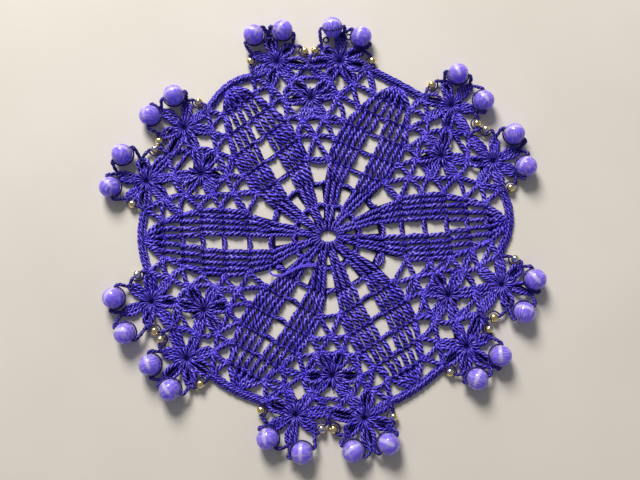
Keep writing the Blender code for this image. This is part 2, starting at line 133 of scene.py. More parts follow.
def cotton(name, groove_shade, deep, pale, roughness, gloss=1.0, relief=FIBRE_RELIEF):
    """Plied cotton, with painted shade in its grooves, and from deep to pale on its crests."""
    material, shader = new_material(name)
    place = add_node(material, "ShaderNodeTexCoord")
    dye = add_noise(material, DYE_PATCH, detail=3.0, place=place.outputs["Object"])
    stitch = add_node(material, "ShaderNodeNewGeometry")
    shade = add_node(
        material, "ShaderNodeMix", {"data_type": "FLOAT", "Factor": STITCH_SHARE},
        _2=dye.outputs["Fac"], _3=stitch.outputs["Random Per Island"],
    )
    crest = add_node(material, "ShaderNodeValToRGB", Fac=shade.outputs[0])
    set_stops(crest, (DEEP_AT, deep), (PALE_AT, pale))
    # The thread's own UV map runs round it in V, and every ply starts in a groove.
    unrolled = add_node(material, "ShaderNodeSeparateXYZ", Vector=place.outputs["UV"])
    turn = add_node(
        material, "ShaderNodeMath", {"operation": "MULTIPLY", 1: math.tau * PLIES}, _0=unrolled.outputs["Y"]
    )
    ridge = add_node(material, "ShaderNodeMath", {"operation": "COSINE"}, _0=turn.outputs[0])
    # Painted shade: the grooves between the plies get the dark groove colour.
    painted_groove_shade = add_fade(material, SHADE_FROM, SHADE_FULL, ridge.outputs[0])
    colour = add_node(
        material, "ShaderNodeMix", {"data_type": "RGBA", 7: linear(groove_shade)},
        _0=painted_groove_shade.outputs[0], _6=crest.outputs["Color"],
    )
    width, depth = relief
    fibres = add_noise(material, width, detail=2.0, place=place.outputs["Object"])
    bump = add_node(
        material, "ShaderNodeBump", {"Strength": RELIEF_STRENGTH, "Distance": depth},
        Height=fibres.outputs["Fac"],
    )
    links = material.node_tree.links
    links.new(colour.outputs[2], shader.inputs["Base Color"])
    links.new(bump.outputs["Normal"], shader.inputs["Normal"])
    shader.inputs["Roughness"].default_value = roughness
    shader.inputs["Specular IOR Level"].default_value = gloss
    shader.inputs["Specular Tint"].default_value = linear(GLINT_TINT)
    shader.inputs["Sheen Weight"].default_value = SHEEN
    shader.inputs["Sheen Tint"].default_value = linear(SHEEN_TINT)
    return material


BACK_OF_STITCH = (0.0009, 0.0005)  # width and relief of the thread on the far side of a stitch, in metres
# The worked stitches: bright crests, grooves painted near black as shade, and a tight gloss.
plied_cotton = cotton("Mercerised cotton, plied", "#05020F", "#4630D8", "#7E6AFF", 0.31)
# The backs of stitches, seen between others: matt, with a coarse relief, and painted nearly black as the
# shade between stitches.
shaded_backs_cotton = cotton(
    "Mercerised cotton, packed close, in painted shade", "#0C0630", "#0C0630", "#160C4A", 0.80, gloss=0.2, relief=BACK_OF_STITCH
)
# Thin thread that lies tight against a bead, painted nearly black as the shade there: a dark line round a
# bead.
shaded_thin_cotton = cotton("Mercerised cotton, twisted thin, in painted shade", "#06031A", "#160C50", "#241678", 0.40)
# Two threads held together, painted darker than a stitch as shade, which sets the edging and the rounds'
# edges off.
shaded_edging_cotton = cotton("Mercerised cotton, doubled, in painted shade", "#05020F", "#281A86", "#4A38C4", 0.38)
# The cut end, where the plies lie open and their grooves get little painted shade: pale and smooth.
loose_cotton = cotton("Mercerised cotton, unplied end", "#4630C0", "#5E48E6", "#806CFF", 0.40)
print("cotton:", [m.name for m in (plied_cotton, shaded_backs_cotton, shaded_thin_cotton, shaded_edging_cotton, loose_cotton)])

# %% [markdown]
# ## Satin glass and metal beads
# The large beads are satin glass, or an acrylic that copies it: fine parallel fibres or air lines in the
# glass throw one soft band of light across them, as a reel of silk does. Here that band is a painted
# highlight, lighter colour laid into the glass on the side that faces the window's glint. Each bead carries
# its own fibre direction as an attribute on its mesh: x along the fibres, z towards the band. The streaks
# are a noise stretched along x, 0.6 mm wide where the real ones are finer than that, and the painted band
# is where x is small and z is high. The glass lets light in a little way, which softens its shaded side.
# The small beads are glass with a metal coat, which turns from gold to blue over the bead, so their colour
# comes from a slow noise.

# %% Bead materials
# The band is a painted highlight: lighter colour on the side of a bead that faces the window's glint.
GLINT_BAND_HALF, STREAK = 0.24, 0.12  # shares of a bead's radius: the band's half width, and a streak's width
FIBRE_STRETCH = (0.02, 1.0, 0.3)  # the noise is drawn out along x, so that it makes streaks
GLINT_BAND_FROM = 0.35            # how high on a bead the band begins
TARNISH_PATCH = 0.0025            # metres from one colour of the metal coat to the next

satin_glass, shader = new_material("Satin glass, drawn")
fibre_place = add_node(satin_glass, "ShaderNodeAttribute", {"attribute_name": "satin"})
axes = add_node(satin_glass, "ShaderNodeSeparateXYZ", Vector=fibre_place.outputs["Vector"])
stretch = add_node(
    satin_glass, "ShaderNodeVectorMath", {"operation": "MULTIPLY"}, _0=fibre_place.outputs["Vector"]
)
stretch.inputs[1].default_value = FIBRE_STRETCH
streaks = add_noise(satin_glass, STREAK, detail=0.0, place=stretch.outputs["Vector"])
# Painted highlight: a light band across the fibres, strongest towards the window's glint.
off_glint_band = add_node(satin_glass, "ShaderNodeMath", {"operation": "ABSOLUTE"}, _0=axes.outputs["X"])
glint_band = add_fade(satin_glass, GLINT_BAND_HALF, 0.0, off_glint_band.outputs[0])
facing_glint = add_fade(satin_glass, GLINT_BAND_FROM, 1.0, axes.outputs["Z"])
painted_glint = add_node(
    satin_glass, "ShaderNodeMath", {"operation": "MULTIPLY"}, _0=glint_band.outputs[0], _1=facing_glint.outputs[0]
)
streaks_and_glint = add_node(
    satin_glass, "ShaderNodeMath", {"operation": "ADD"}, _0=painted_glint.outputs[0], _1=streaks.outputs["Fac"]
)
glass_colour = add_node(satin_glass, "ShaderNodeValToRGB", Fac=streaks_and_glint.outputs[0])
set_stops(glass_colour, (0.34, "#6E58FC"), (0.50, "#806EFF"), (0.66, "#9486FF"), (1.0, "#AEA4FF"))
satin_glass.node_tree.links.new(glass_colour.outputs["Color"], shader.inputs["Base Color"])
shader.inputs["Roughness"].default_value = 0.40
shader.inputs["Specular IOR Level"].default_value = 0.25
shader.inputs["IOR"].default_value = 1.52
shader.inputs["Subsurface Weight"].default_value = 1.0
shader.inputs["Subsurface Scale"].default_value = 0.020
shader.inputs["Subsurface Radius"].default_value = (0.6, 0.5, 1.0)
shader.inputs["Coat Weight"].default_value = 0.55
shader.inputs["Coat Roughness"].default_value = 0.06

coated_metal, shader = new_material("Glass with a metal coat, fired")
place = add_node(coated_metal, "ShaderNodeTexCoord")
tarnish = add_noise(coated_metal, TARNISH_PATCH, detail=1.0, place=place.outputs["Object"])
metal_colour = add_node(coated_metal, "ShaderNodeValToRGB", Fac=tarnish.outputs["Fac"])
set_stops(metal_colour, (0.32, "#9DB2F4"), (0.42, "#F4EBD0"), (0.54, "#FFE692"))
coated_metal.node_tree.links.new(metal_colour.outputs["Color"], shader.inputs["Base Color"])
shader.inputs["Metallic"].default_value = 1.0
shader.inputs["Roughness"].default_value = 0.20
print("beads:", satin_glass.name, "and", coated_metal.name)

# %% [markdown]
# ## The chart
# A crochet pattern is a chart, and this one is worked the same way: points across and along an axis at
# some angle from the ring. A hand-made doily is uneven, so each leaf and each field has its own angle and
# reach. The numbers are in metres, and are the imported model's own, apart from the ring's hole and the
# rosette's windows: those are a little wider here, because thread covers their edges.

# %% Where the ring, the leaves and the fields are
RING_AT = Vector((0.0036, -0.0020))
RING_HOLE = (0.0041, 0.0028)
ROSETTE_SHIFT = Vector((-0.0007, 0.0))
GROUP_GAP_ANGLES = (9, 38, 67, 101, 131, 158, 185, 213, 243, 273, 303, 336)  # degrees
# the gaps between two groups of stitches, from near the ring to far from it: slits, and windows outside them
SLIT_RADII, SLIT_WIDTHS = (0.0092, 0.0136), (0.0006, 0.0024)
WINDOW_RADII, WINDOW_WIDTHS = (0.0163, 0.0246), (0.0034, 0.0048)

# round: (start, end, distance of each post's foot from the axis, distance of each post's head)
LEAF_ROUNDS = {
    3: (0.0253, 0.0352, (0.0037, 0.0060, 0.0083, 0.0104), (0.0042, 0.0073, 0.0104, 0.0135)),
    4: (0.0352, 0.0457, (0.0041, 0.0069, 0.0097, 0.0124, 0.0148), (0.0042, 0.0072, 0.0101, 0.0129, 0.0155)),
    5: (0.0457, 0.0560, (0.0042, 0.0072, 0.0100, 0.0128, 0.0154), (0.0040, 0.0071, 0.0100, 0.0128, 0.0153)),
    6: (0.0560, 0.0658, (0.0027, 0.0062, 0.0097, 0.0136), (0.0026, 0.0059, 0.0092, 0.0122)),
    7: (0.0658, 0.0750, (0.0019, 0.0058, 0.0102), (0.0018, 0.0053, 0.0087)),
    8: (0.0750, 0.0840, (0.0017, 0.0052), (0.0005, 0.0016)),
}
LAST_ROUND = max(LEAF_ROUNDS)
LEAF_MIDDLE, LEAF_TIP = 0.0457, 0.0845
STRETCH_FROM, LEAN_FROM = 0.0150, 0.0400  # how far out a leaf's own stretch begins, and its lean
FOOT_IN, BRAID_PAST_TIP = 0.0010, 0.0006  # the net's foot below round 3, and the braid past a leaf's tip

# leaf: (angle in degrees, how far its middle is out, how far its tip is out, sideways lean of its tip)
LEAVES = (
    (5.8, 0.0010, 0.0015, 0.0017),
    (66.2, -0.0007, -0.0020, 0.0023),
    (126.1, 0.0018, 0.0040, 0.0044),
    (184.2, 0.0042, 0.0033, 0.0050),
    (241.5, 0.0002, -0.0015, 0.0037),
    (301.3, -0.0008, -0.0036, 0.0025),
)

# field: (angle, inner flower, left rim flower, right rim flower), each as (across, along, clockwise turn)
FIELDS = (
    (35, (-0.0010, 0.0675, 0), (-0.0185, 0.0865, -14), (0.0155, 0.0865, -4)),
    (96, (-0.0012, 0.0690, 0), (-0.0160, 0.0895, -2), (0.0150, 0.0865, -4)),
    (155, (0.0018, 0.0685, 9), (-0.0125, 0.0905, 0), (0.0190, 0.0860, 2)),
    (213, (0.0025, 0.0680, 0), (-0.0125, 0.0865, 0), (0.0190, 0.0865, 0)),
    (272, (0.0005, 0.0653, 0), (-0.0135, 0.0850, -4), (0.0180, 0.0825, 0)),
    (334, (0.0005, 0.0630, 5), (-0.0150, 0.0835, -7), (0.0185, 0.0805, 0)),
)

# each petal's tip from its flower's centre, on the right of a field; the left mirrors it
INNER_PETALS = {"low": (0.0054, -0.0110), "side": (0.0128, 0.0000), "high": (0.0085, 0.0088)}
RIM_PETALS = {
    "middle": (-0.0135, -0.0020),
    "first": (-0.0087, 0.0072),
    "second": (0.0028, 0.0140),
    "third": (0.0121, 0.0047),
    "rim": (0.0128, -0.0062),
    "net_outer": (0.0042, -0.0127),
    "net_inner": (-0.0065, -0.0102),
}
NET_PETALS = ("rim", "net_outer", "net_inner")
CHAIN_BOW, JOINT_SHARE = 0.0017, 0.55  # the bow between two high petals, and where the first joint is
print(len(LEAVES), "leaves of", len(LEAF_ROUNDS), "rounds, and", len(FIELDS), "fields")


# %% Points of the chart
def out_at(t):
    """The flat direction at this angle from +X, in radians."""
    return Vector((math.cos(t), math.sin(t)))


def left_of(along):
    """The flat direction to the left of this one."""
    return Vector((-along.y, along.x)).normalized()


def turned(angle, across, along):
    """A point across and along an axis at this angle from +X, from the centre ring."""
    out = out_at(math.radians(angle))
    return RING_AT + out * along - left_of(out) * across


def rosette_point(angle, radius, across=0.0):
    return turned(angle, across, radius) + ROSETTE_SHIFT


def leaf_point(leaf, across, along):
    """A point of a leaf's chart, stretched and leant as that leaf is."""
    angle, middle_out, tip_out, lean = LEAVES[leaf]
    if along < LEAF_MIDDLE:
        out = middle_out * (along - STRETCH_FROM) / (LEAF_MIDDLE - STRETCH_FROM)
    else:
        out = middle_out + (tip_out - middle_out) * (along - LEAF_MIDDLE) / (LEAF_TIP - LEAF_MIDDLE)
    sideways = lean * (along - LEAN_FROM) / (LEAF_TIP - LEAN_FROM)
    return turned(angle, across + sideways, along + out)


def petal_tip(flower, offset, side, turn):
    """A petal's tip in its field, from its flower's centre: mirrored on the left, and turned clockwise."""
    t = math.radians(turn)
    x, y = offset[0] * side, offset[1]
    return flower + Vector((x * math.cos(t) + y * math.sin(t), y * math.cos(t) - x * math.sin(t)))


def field_nodes(field):
    """The named points of one field's net and flowers, by (name, side): side is -1, 0 or 1."""
    angle, (*inner, inner_turn), *rims = FIELDS[field]
    inner = Vector(inner)
    flat = {("inner", 0): inner}
    middles = []
    for side, (*rim, rim_turn) in zip((-1, 1), rims):
        rim = Vector(rim)
        flat["rim_centre", side] = rim
        for name, offset in INNER_PETALS.items():
            flat[name, side] = petal_tip(inner, offset, side, inner_turn)
        for name, offset in RIM_PETALS.items():
            flat[name, side] = petal_tip(rim, offset, side, rim_turn if name in NET_PETALS else 0)
        flat["high", side] = (flat["high", side] + flat.pop(("net_inner", side))) / 2
        middles.append(flat.pop(("middle", side)))
    flat["middle", 0] = (middles[0] + middles[1]) / 2
    flat["chain", 0] = (flat["high", -1] + flat["high", 1]) / 2 + Vector((0.0, CHAIN_BOW))
    return {key: turned(angle, *point) for key, point in flat.items()}


def braid_line(leaf, rim_left, rim_right, steps):
    """The rim braid's centre line over a leaf's tip, as an arc through its two ends and its middle."""
    tip = leaf_point(leaf, 0.0, LEAF_TIP + BRAID_PAST_TIP)
    bow = tip - (rim_left + rim_right) / 2
    shares = [i / steps for i in range(steps + 1)]
    return [rim_left.lerp(rim_right, t) + bow * 4 * t * (1 - t) for t in shares]


BRAID_STEPS = 8
nodes_of = [field_nodes(field) for field in range(len(FIELDS))]
braids = [
    braid_line(i, nodes_of[i]["rim", 1], nodes_of[i - 1]["rim", -1], BRAID_STEPS) for i in range(len(LEAVES))
]
print(sum(len(nodes) for nodes in nodes_of), "named points in the fields")

# %% [markdown]
# ## The net's strands
# The strands between the leaves are the same in every field, so they are written down once, as pairs of
# named points. The gaps of the flat ground are worked out from the same points.


# %% Leaf edges and the strands of one field
EDGE_POST_HALF = 0.00105  # half of the outermost post, which the net is hooked into


def leaf_edge(leaf, side, stitch_round):
    """Where a round ends at a leaf's side: side is -1 on the left of the leaf's axis, 1 on the right."""
    _, end, _, heads = LEAF_ROUNDS[stitch_round]
    return leaf_point(leaf, side * (heads[-1] + EDGE_POST_HALF), end)


def field_places(field):
    """Where a field's net meets its leaves: the edges of rounds 3 to 7, the foot, and the first joint."""
    nodes = nodes_of[field]
    leaves = {1: field, -1: (field + 1) % len(LEAVES)}
    edge = {(k, s): leaf_edge(leaves[s], -s, k) for k in range(3, LAST_ROUND) for s in (-1, 1)}
    start, _, feet, _ = LEAF_ROUNDS[3]
    foot_across = feet[-1] + EDGE_POST_HALF
    foot = {s: leaf_point(leaves[s], -s * foot_across, start - FOOT_IN) for s in (-1, 1)}
    bar = (edge[3, -1] + edge[3, 1]) / 2
    joint = bar.lerp((nodes["low", -1] + nodes["low", 1]) / 2, JOINT_SHARE)
    return edge, foot, joint


def net_strands(field):
    """The (start, end, bow away from) of every leg and every chain of one field's net."""
    nodes = nodes_of[field]
    edge, foot, joint = field_places(field)
    inner = nodes["inner", 0]
    legs = [(nodes["high", s], nodes["middle", 0], None) for s in (-1, 1)]
    chains = [(edge[3, -1], edge[3, 1], None), (foot[-1], foot[1], joint)]
    chains.append((nodes["low", -1], nodes["low", 1], joint))
    for s in (-1, 1):
        low, side, outer, rim = (nodes[name, s] for name in ("low", "side", "net_outer", "rim"))
        e3, e4, e5, e6, e7 = (edge[k, s] for k in range(3, LAST_ROUND))
        legs += [(e3, joint, None), (low, joint, None), (e4, low, None), (low, side, inner), (e5, side, None)]
        legs += [(side, outer, None), (e6, outer, None), (outer, rim, None), (e7, rim, None)]
        legs += [(side, nodes["high", s], inner)]
        chains += [(joint, e4, e3), (low, e5, e4), (side, e6, e5), (outer, e7, e6)]
        chains += [(nodes["high", s], nodes["chain", 0], inner)]
    return legs, chains


print(sum(len(part) for part in net_strands(0)), "strands in a field's net")

# %% [markdown]
# ## The ground of the lace
# Between thick stitches one sees the backs of others, close together and in shade. A thin flat ground under
# the raised thread stands for them, and its near-black colour is painted shade. It is one closed curve with
# holes, filled and given a thickness, which is the surest way to cut more than four hundred gaps with clean
# walls. Each gap's sides are the chart's own strands moved in by less than the thread's radius, so the
# thread covers nearly all of its edge.

# %% How wide the ground is under each kind of stitch
GROUND_FROM, GROUND_THICKNESS = 0.00015, 0.0006
CHAIN_HALF, LEG_HALF, POST_HALF, BAR_HALF = 0.0001, 0.0002, 0.00095, 0.0007
BRAID_HALF, EDGE_INSET = 0.0012, 0.0001
PETAL_HALF, SHOULDER_AT = 0.0021, 0.62     # a petal's half width, and the share of its length where that is
NOTCH_RADIUS, FULL_RADIUS = 0.0048, 0.0060  # how far out a flower is filled between two petals
TIP_HALF, JOINT_HALF = 0.0005, 0.0007
SMALLEST_GAP_AREA = 1.6e-6  # square metres
NEARLY_PARALLEL = 0.05  # sine of the angle below which two strands count as one line


def area_of(points):
    """A ring's area, which is negative where its points go round clockwise."""
    following = points[1:] + points[:1]
    return sum(a.x * b.y - a.y * b.x for a, b in zip(points, following)) / 2


def gap_between(sides):
    """The gap inside a ring of strands, from each side's (start, half width)."""
    corners = [corner for corner, _ in sides]
    insets = [inset for _, inset in sides]
    if area_of(corners) < 0:
        corners.reverse()
        insets = insets[-2::-1] + insets[-1:]
    lines = []
    for start, end, inset in zip(corners, corners[1:] + corners[:1], insets):
        along = (end - start).normalized()
        lines.append((start + left_of(along) * inset, along))
    gap = []
    for (a, u), (b, v) in zip(lines[-1:] + lines[:-1], lines):
        cross = u.x * v.y - u.y * v.x
        if abs(cross) < NEARLY_PARALLEL:
            gap.append(b)
        else:
            gap.append(a + u * (((b.x - a.x) * v.y - (b.y - a.y) * v.x) / cross))
    ends = gap[1:] + gap[:1]
    if any((end - start).dot(along) <= 0 for start, end, (_, along) in zip(gap, ends, lines)):
        return []
    return gap


# %% The ground's petals, gaps and outline
def shoulder(centre, tip, towards):
    """The widest point of a petal, on the side that faces another point."""
    along = tip - centre
    across = left_of(along)
    if across.dot(towards - centre) < 0:
        across.negate()
    return centre + along * SHOULDER_AT + across * PETAL_HALF


def notch(centre, tip_a, tip_b, radius=NOTCH_RADIUS):
    """The point between two petals, at this distance from their flower's centre."""
    between = (tip_a - centre).normalized() + (tip_b - centre).normalized()
    return centre + between.normalized() * radius


def petal_sides(centre, tip_a, tip_b):
    """The sides of a gap that run down one petal and up the next one."""
    down, up = shoulder(centre, tip_a, tip_b), shoulder(centre, tip_b, tip_a)
    return [(point, 0.0) for point in (tip_a, down, notch(centre, tip_a, tip_b), up)]


def between_groups(radii, widths):
    """The twelve gaps between the groups of one round of the rosette."""
    (low, high), (narrow, wide) = radii, widths
    places = ((low, -narrow / 2), (low, narrow / 2), (high, wide / 2), (high, -wide / 2))
    return [[rosette_point(angle, radius, across) for radius, across in places] for angle in GROUP_GAP_ANGLES]


def both_sides(distances):
    """Distances from an axis on its right, with the same ones on its left before them."""
    return [-x for x in reversed(distances)] + list(distances)


def leaf_gaps(leaf):
    """The gaps between all the posts of a leaf."""
    gaps = []
    for start, end, feet, heads in LEAF_ROUNDS.values():
        feet, heads = both_sides(feet), both_sides(heads)
        for i in range(len(feet) - 1):
            sides = (
                (leaf_point(leaf, feet[i], start), BAR_HALF),
                (leaf_point(leaf, feet[i + 1], start), POST_HALF),
                (leaf_point(leaf, heads[i + 1], end), BAR_HALF),
                (leaf_point(leaf, heads[i], end), POST_HALF),
            )
            gaps.append(gap_between(sides))
    return gaps


def field_gaps(field):
    """The gaps of one field's net. Its right side borders leaf `field`, its left side the next leaf round."""
    nodes = nodes_of[field]
    edge, foot, joint = field_places(field)
    left, right = edge[3, -1], edge[3, 1]
    rings = [
        [(foot[-1], CHAIN_HALF), (foot[1], EDGE_INSET), (right, CHAIN_HALF), (left, EDGE_INSET)],
        [(left, CHAIN_HALF), (right, LEG_HALF), (joint, LEG_HALF)],
        [(joint, LEG_HALF), (nodes["low", 1], CHAIN_HALF), (nodes["low", -1], LEG_HALF)],
    ]
    inner, middle, chain = nodes["inner", 0], nodes["middle", 0], (nodes["chain", 0], CHAIN_HALF)
    left, right = nodes["high", -1], nodes["high", 1]
    rings.append([(right, LEG_HALF), (middle, LEG_HALF), (left, CHAIN_HALF), chain])
    rings.append([*petal_sides(inner, left, right), (right, CHAIN_HALF), chain])
    for s in (-1, 1):
        low, side, high = nodes["low", s], nodes["side", s], nodes["high", s]
        outer, rim, rim_centre = nodes["net_outer", s], nodes["rim", s], nodes["rim_centre", s]
        e3, e4, e5, e6, e7 = (edge[k, s] for k in range(3, LAST_ROUND))
        full = notch(rim_centre, outer, high, FULL_RADIUS)
        rings += [
            [(e3, EDGE_INSET), (e4, CHAIN_HALF), (joint, LEG_HALF)],
            [(joint, CHAIN_HALF), (e4, LEG_HALF), (low, LEG_HALF)],
            [(e4, EDGE_INSET), (e5, CHAIN_HALF), (low, LEG_HALF)],
            [(low, CHAIN_HALF), (e5, LEG_HALF), (side, LEG_HALF)],
            [(e5, EDGE_INSET), (e6, CHAIN_HALF), (side, LEG_HALF)],
            [(side, CHAIN_HALF), (e6, LEG_HALF), (outer, LEG_HALF)],
            [(e6, EDGE_INSET), (e7, CHAIN_HALF), (outer, LEG_HALF)],
            [(outer, CHAIN_HALF), (e7, LEG_HALF), (rim, LEG_HALF)],
            [*petal_sides(inner, low, side), (side, LEG_HALF)],
            [*petal_sides(inner, side, high), (high, LEG_HALF)],
            [(outer, JOINT_HALF), (full, JOINT_HALF), (high, LEG_HALF), (side, LEG_HALF)],
            [*petal_sides(rim_centre, rim, outer), (outer, LEG_HALF)],
            [*petal_sides(rim_centre, high, middle), (middle, LEG_HALF)],
        ]
    return [gap_between(sides) for sides in rings]


def tip_gaps(leaf, braid):
    """The two gaps beside a leaf's tip, under the rim braid."""
    start, _, feet, heads = LEAF_ROUNDS[LAST_ROUND]
    middle = len(braid) // 2
    gaps = []
    for side, ends in ((-1, braid[: middle + 1 : 2]), (1, braid[: middle - 1 : -2])):
        sides = [
            (leaf_point(leaf, side * (feet[-1] + EDGE_POST_HALF), start), EDGE_INSET + BAR_HALF),
            (leaf_edge(leaf, side, LAST_ROUND - 1), LEG_HALF),
            *((point, BRAID_HALF) for point in ends[:-1]),
            (leaf_point(leaf, side * (heads[-1] + EDGE_POST_HALF), LEAF_TIP), EDGE_INSET),
        ]
        gaps.append(gap_between(sides))
    return gaps


def offset_line(line, distance):
    """A line moved to its left."""
    moved = []
    for i, point in enumerate(line):
        along = line[min(i + 1, len(line) - 1)] - line[max(i - 1, 0)]
        moved.append(point + left_of(along) * distance)
    return moved


def petal_outline(centre, tip, before, after):
    """The outer edge of one petal: shoulder, tip, tip, shoulder."""
    across = left_of(tip - centre)
    if across.dot(before - centre) < 0:
        across.negate()
    return [
        shoulder(centre, tip, before), tip + across * TIP_HALF, tip - across * TIP_HALF,
        shoulder(centre, tip, after),
    ]


def flower_outline(nodes, side):
    """A rim flower's outer edge, from its braid end to the middle joint."""
    centre = nodes["rim_centre", side]
    tips = [nodes[name, side] for name in ("rim", "third", "second", "first")] + [nodes["middle", 0]]
    outline = [shoulder(centre, tips[0], tips[1])]
    for before, tip, after in zip(tips, tips[1:], tips[2:]):
        outline.append(notch(centre, before, tip))
        outline.extend(petal_outline(centre, tip, before, after))
    outline.append(notch(centre, tips[-2], tips[-1]))
    outline.append(shoulder(centre, tips[-1], tips[-2]))
    return outline


def doily_outline():
    """The whole outer edge, clockwise: each field's two rim flowers, then the braid on its right."""
    outline = []
    for field in reversed(range(len(FIELDS))):
        nodes = nodes_of[field]
        outward = (nodes["middle", 0] - RING_AT).normalized()
        outline.extend(flower_outline(nodes, -1))
        outline.append(nodes["middle", 0] + outward * JOINT_HALF)
        outline.extend(reversed(flower_outline(nodes, 1)))
        outline.extend(offset_line(braids[field], BRAID_HALF))
    return outline


# %% Pieces, and curves turned into meshes
collection = bpy.data.collections.new("Doily")
bpy.context.scene.collection.children.link(collection)
WELD = 1e-6  # metres


def add_piece(name, mesh, material, where=collection):
    """A mesh with its material, as a piece at the origin."""
    mesh.materials.clear()
    mesh.materials.append(material)
    piece = bpy.data.objects.new(name, mesh)
    where.objects.link(piece)
    return piece


def shade_smooth(piece):
    piece.data.polygons.foreach_set("use_smooth", [True] * len(piece.data.polygons))


def mesh_from_curve(name, curve, material, height=0.0):
    """A curve's solid as a mesh piece at the origin, with its caps welded and its faces outwards."""
    guide = bpy.data.objects.new(name, curve)
    guide.location.z = height
    bpy.context.scene.collection.objects.link(guide)
    bpy.context.view_layer.update()
    evaluated = guide.evaluated_get(bpy.context.evaluated_depsgraph_get())
    mesh = bpy.data.meshes.new_from_object(evaluated)
    mesh.transform(guide.matrix_world)
    bpy.data.objects.remove(guide)
    bm = bmesh.new()
    bm.from_mesh(mesh)
    bmesh.ops.remove_doubles(bm, verts=bm.verts, dist=WELD)
    bmesh.ops.recalc_face_normals(bm, faces=bm.faces)
    bm.to_mesh(mesh)
    bm.free()
    return add_piece(name, mesh, material)


# %% Cut the ground
RING_POINTS, FACES_UP = 24, 0.9  # points round the ring's hole, and how far up a top face looks
ring_hole = [
    RING_AT + Vector((math.cos(t) * RING_HOLE[0], math.sin(t) * RING_HOLE[1]))
    for t in (math.tau * i / RING_POINTS for i in range(RING_POINTS))
]
gaps = [ring_hole, *between_groups(SLIT_RADII, SLIT_WIDTHS), *between_groups(WINDOW_RADII, WINDOW_WIDTHS)]
for i in range(len(LEAVES)):
    gaps += leaf_gaps(i) + field_gaps(i) + tip_gaps(i, braids[i])
gaps = [gap for gap in gaps if gap and abs(area_of(gap)) > SMALLEST_GAP_AREA]

flat_lace = bpy.data.curves.new("lace ground", "CURVE")
flat_lace.dimensions = "2D"
flat_lace.fill_mode = "BOTH"
flat_lace.extrude = GROUND_THICKNESS / 2
for line in [doily_outline(), *gaps]:
    spline = flat_lace.splines.new("POLY")
    spline.points.add(len(line) - 1)
    for slot, point in zip(spline.points, line):
        slot.co = (*point, 0.0, 1.0)
    spline.use_cyclic_u = True
# The ground's near-black colour is painted shade between the stitches.
lace_ground = mesh_from_curve("lace_ground", flat_lace, shaded_backs_cotton, GROUND_FROM + GROUND_THICKNESS / 2)

# %% [markdown]
# ## Twisted thread
# Every stitch shows as a rope: the thread has plies, and a tall stitch is thread wound round itself. The
# twist is what catches the light, so it is real geometry here and not a pattern. A curve is swept with a
# lobed profile, and each point of the curve is tilted a little further, so the lobes run round it as plies
# do. The crests are round and the grooves between them sharp, which takes only three points for each ply.

# %% The profile and one strand
CREST_TURN, GROOVE_REACH = 24, 0.30  # degrees each side of a crest, and how far out a groove's floor is
STEPS_PER_TURN, LONGEST_STEP = 9, 0.0008
S_TWIST = -1  # a Z twist would be 1
PITCH_BASE, PITCH_PER_RADIUS = 0.0034, 2.4     # metres of strand for a full turn of its plies, and per radius
PITCH_VARIES, UNEVEN_TURN = (0.75, 1.25), 0.45  # a share from strand to strand, and radians along one
SWAY, SWAY_WAVES = 0.00016, (0.0035, 0.0080)   # how far a strand strays from its line, and over what length
SWAY_UP = 0.5                                  # it strays half as far up and down
SWELL, SWELL_WAVES = 0.13, (0.0022, 0.0036)    # share by which it is thicker or thinner
NEAT, NEATEST = 0.5, 0.3                       # how uneven small tight loops are, where a tall stitch is 1

profile_curve = bpy.data.curves.new("plied profile", "CURVE")
profile_curve.dimensions = "2D"
profile_curve.fill_mode = "NONE"
ring = profile_curve.splines.new("POLY")
ring.points.add(3 * PLIES - 1)
for i in range(PLIES):
    crest = 360 / PLIES * (i + 0.5)
    corners = ((crest - 180 / PLIES, GROOVE_REACH), (crest - CREST_TURN, 1.0), (crest + CREST_TURN, 1.0))
    for k, (angle, reach) in enumerate(corners):
        t = math.radians(angle)
        ring.points[3 * i + k].co = (math.cos(t) * reach, math.sin(t) * reach, 0.0, 1.0)
ring.use_cyclic_u = True
plied_profile = bpy.data.objects.new("plied profile", profile_curve)
bpy.context.scene.collection.objects.link(plied_profile)
print("a strand's profile has", len(ring.points), "points")


SMOOTH_STEPS = 6  # from one point of a strand's chart to the next


def through(points):
    """A smooth line through these points."""
    line = []
    ends = [points[0] * 2 - points[1], *points, points[-1] * 2 - points[-2]]
    for a, b, c, d in zip(ends, ends[1:], ends[2:], ends[3:]):
        slope, bend, sway = c - a, a * 2 - b * 5 + c * 4 - d, b * 3 - a - c * 3 + d
        for i in range(SMOOTH_STEPS):
            t = i / SMOOTH_STEPS
            line.append((b * 2 + slope * t + bend * t * t + sway * t ** 3) / 2)
    return line + [points[-1]]


def evenly(line, step):
    """The same line with points one step apart."""
    spans = [(b - a).length for a, b in zip(line, line[1:])]
    count = max(2, round(sum(spans) / step))
    wanted, made, travelled, i = sum(spans) / count, [line[0]], 0.0, 0
    while len(made) < count:
        target = wanted * len(made)
        while travelled + spans[i] < target:
            travelled += spans[i]
            i += 1
        made.append(line[i].lerp(line[i + 1], (target - travelled) / spans[i]))
    return made + [line[-1]]


def value_at(values, share):
    """The value this share of the way along a list of values."""
    if len(values) == 1:
        return values[0]
    place = share * (len(values) - 1)
    i = min(int(place), len(values) - 2)
    return values[i] + (values[i + 1] - values[i]) * (place - i)


def waves(count, step, shortest, longest):
    """A smooth random value between -1 and 1 for each step along a strand."""
    parts = []
    for _ in range(2):
        rate = math.tau * step / chance.uniform(shortest, longest)
        parts.append((rate, chance.uniform(0, math.tau)))
    return [sum(math.sin(rate * i + start) for rate, start in parts) / 2 for i in range(count)]


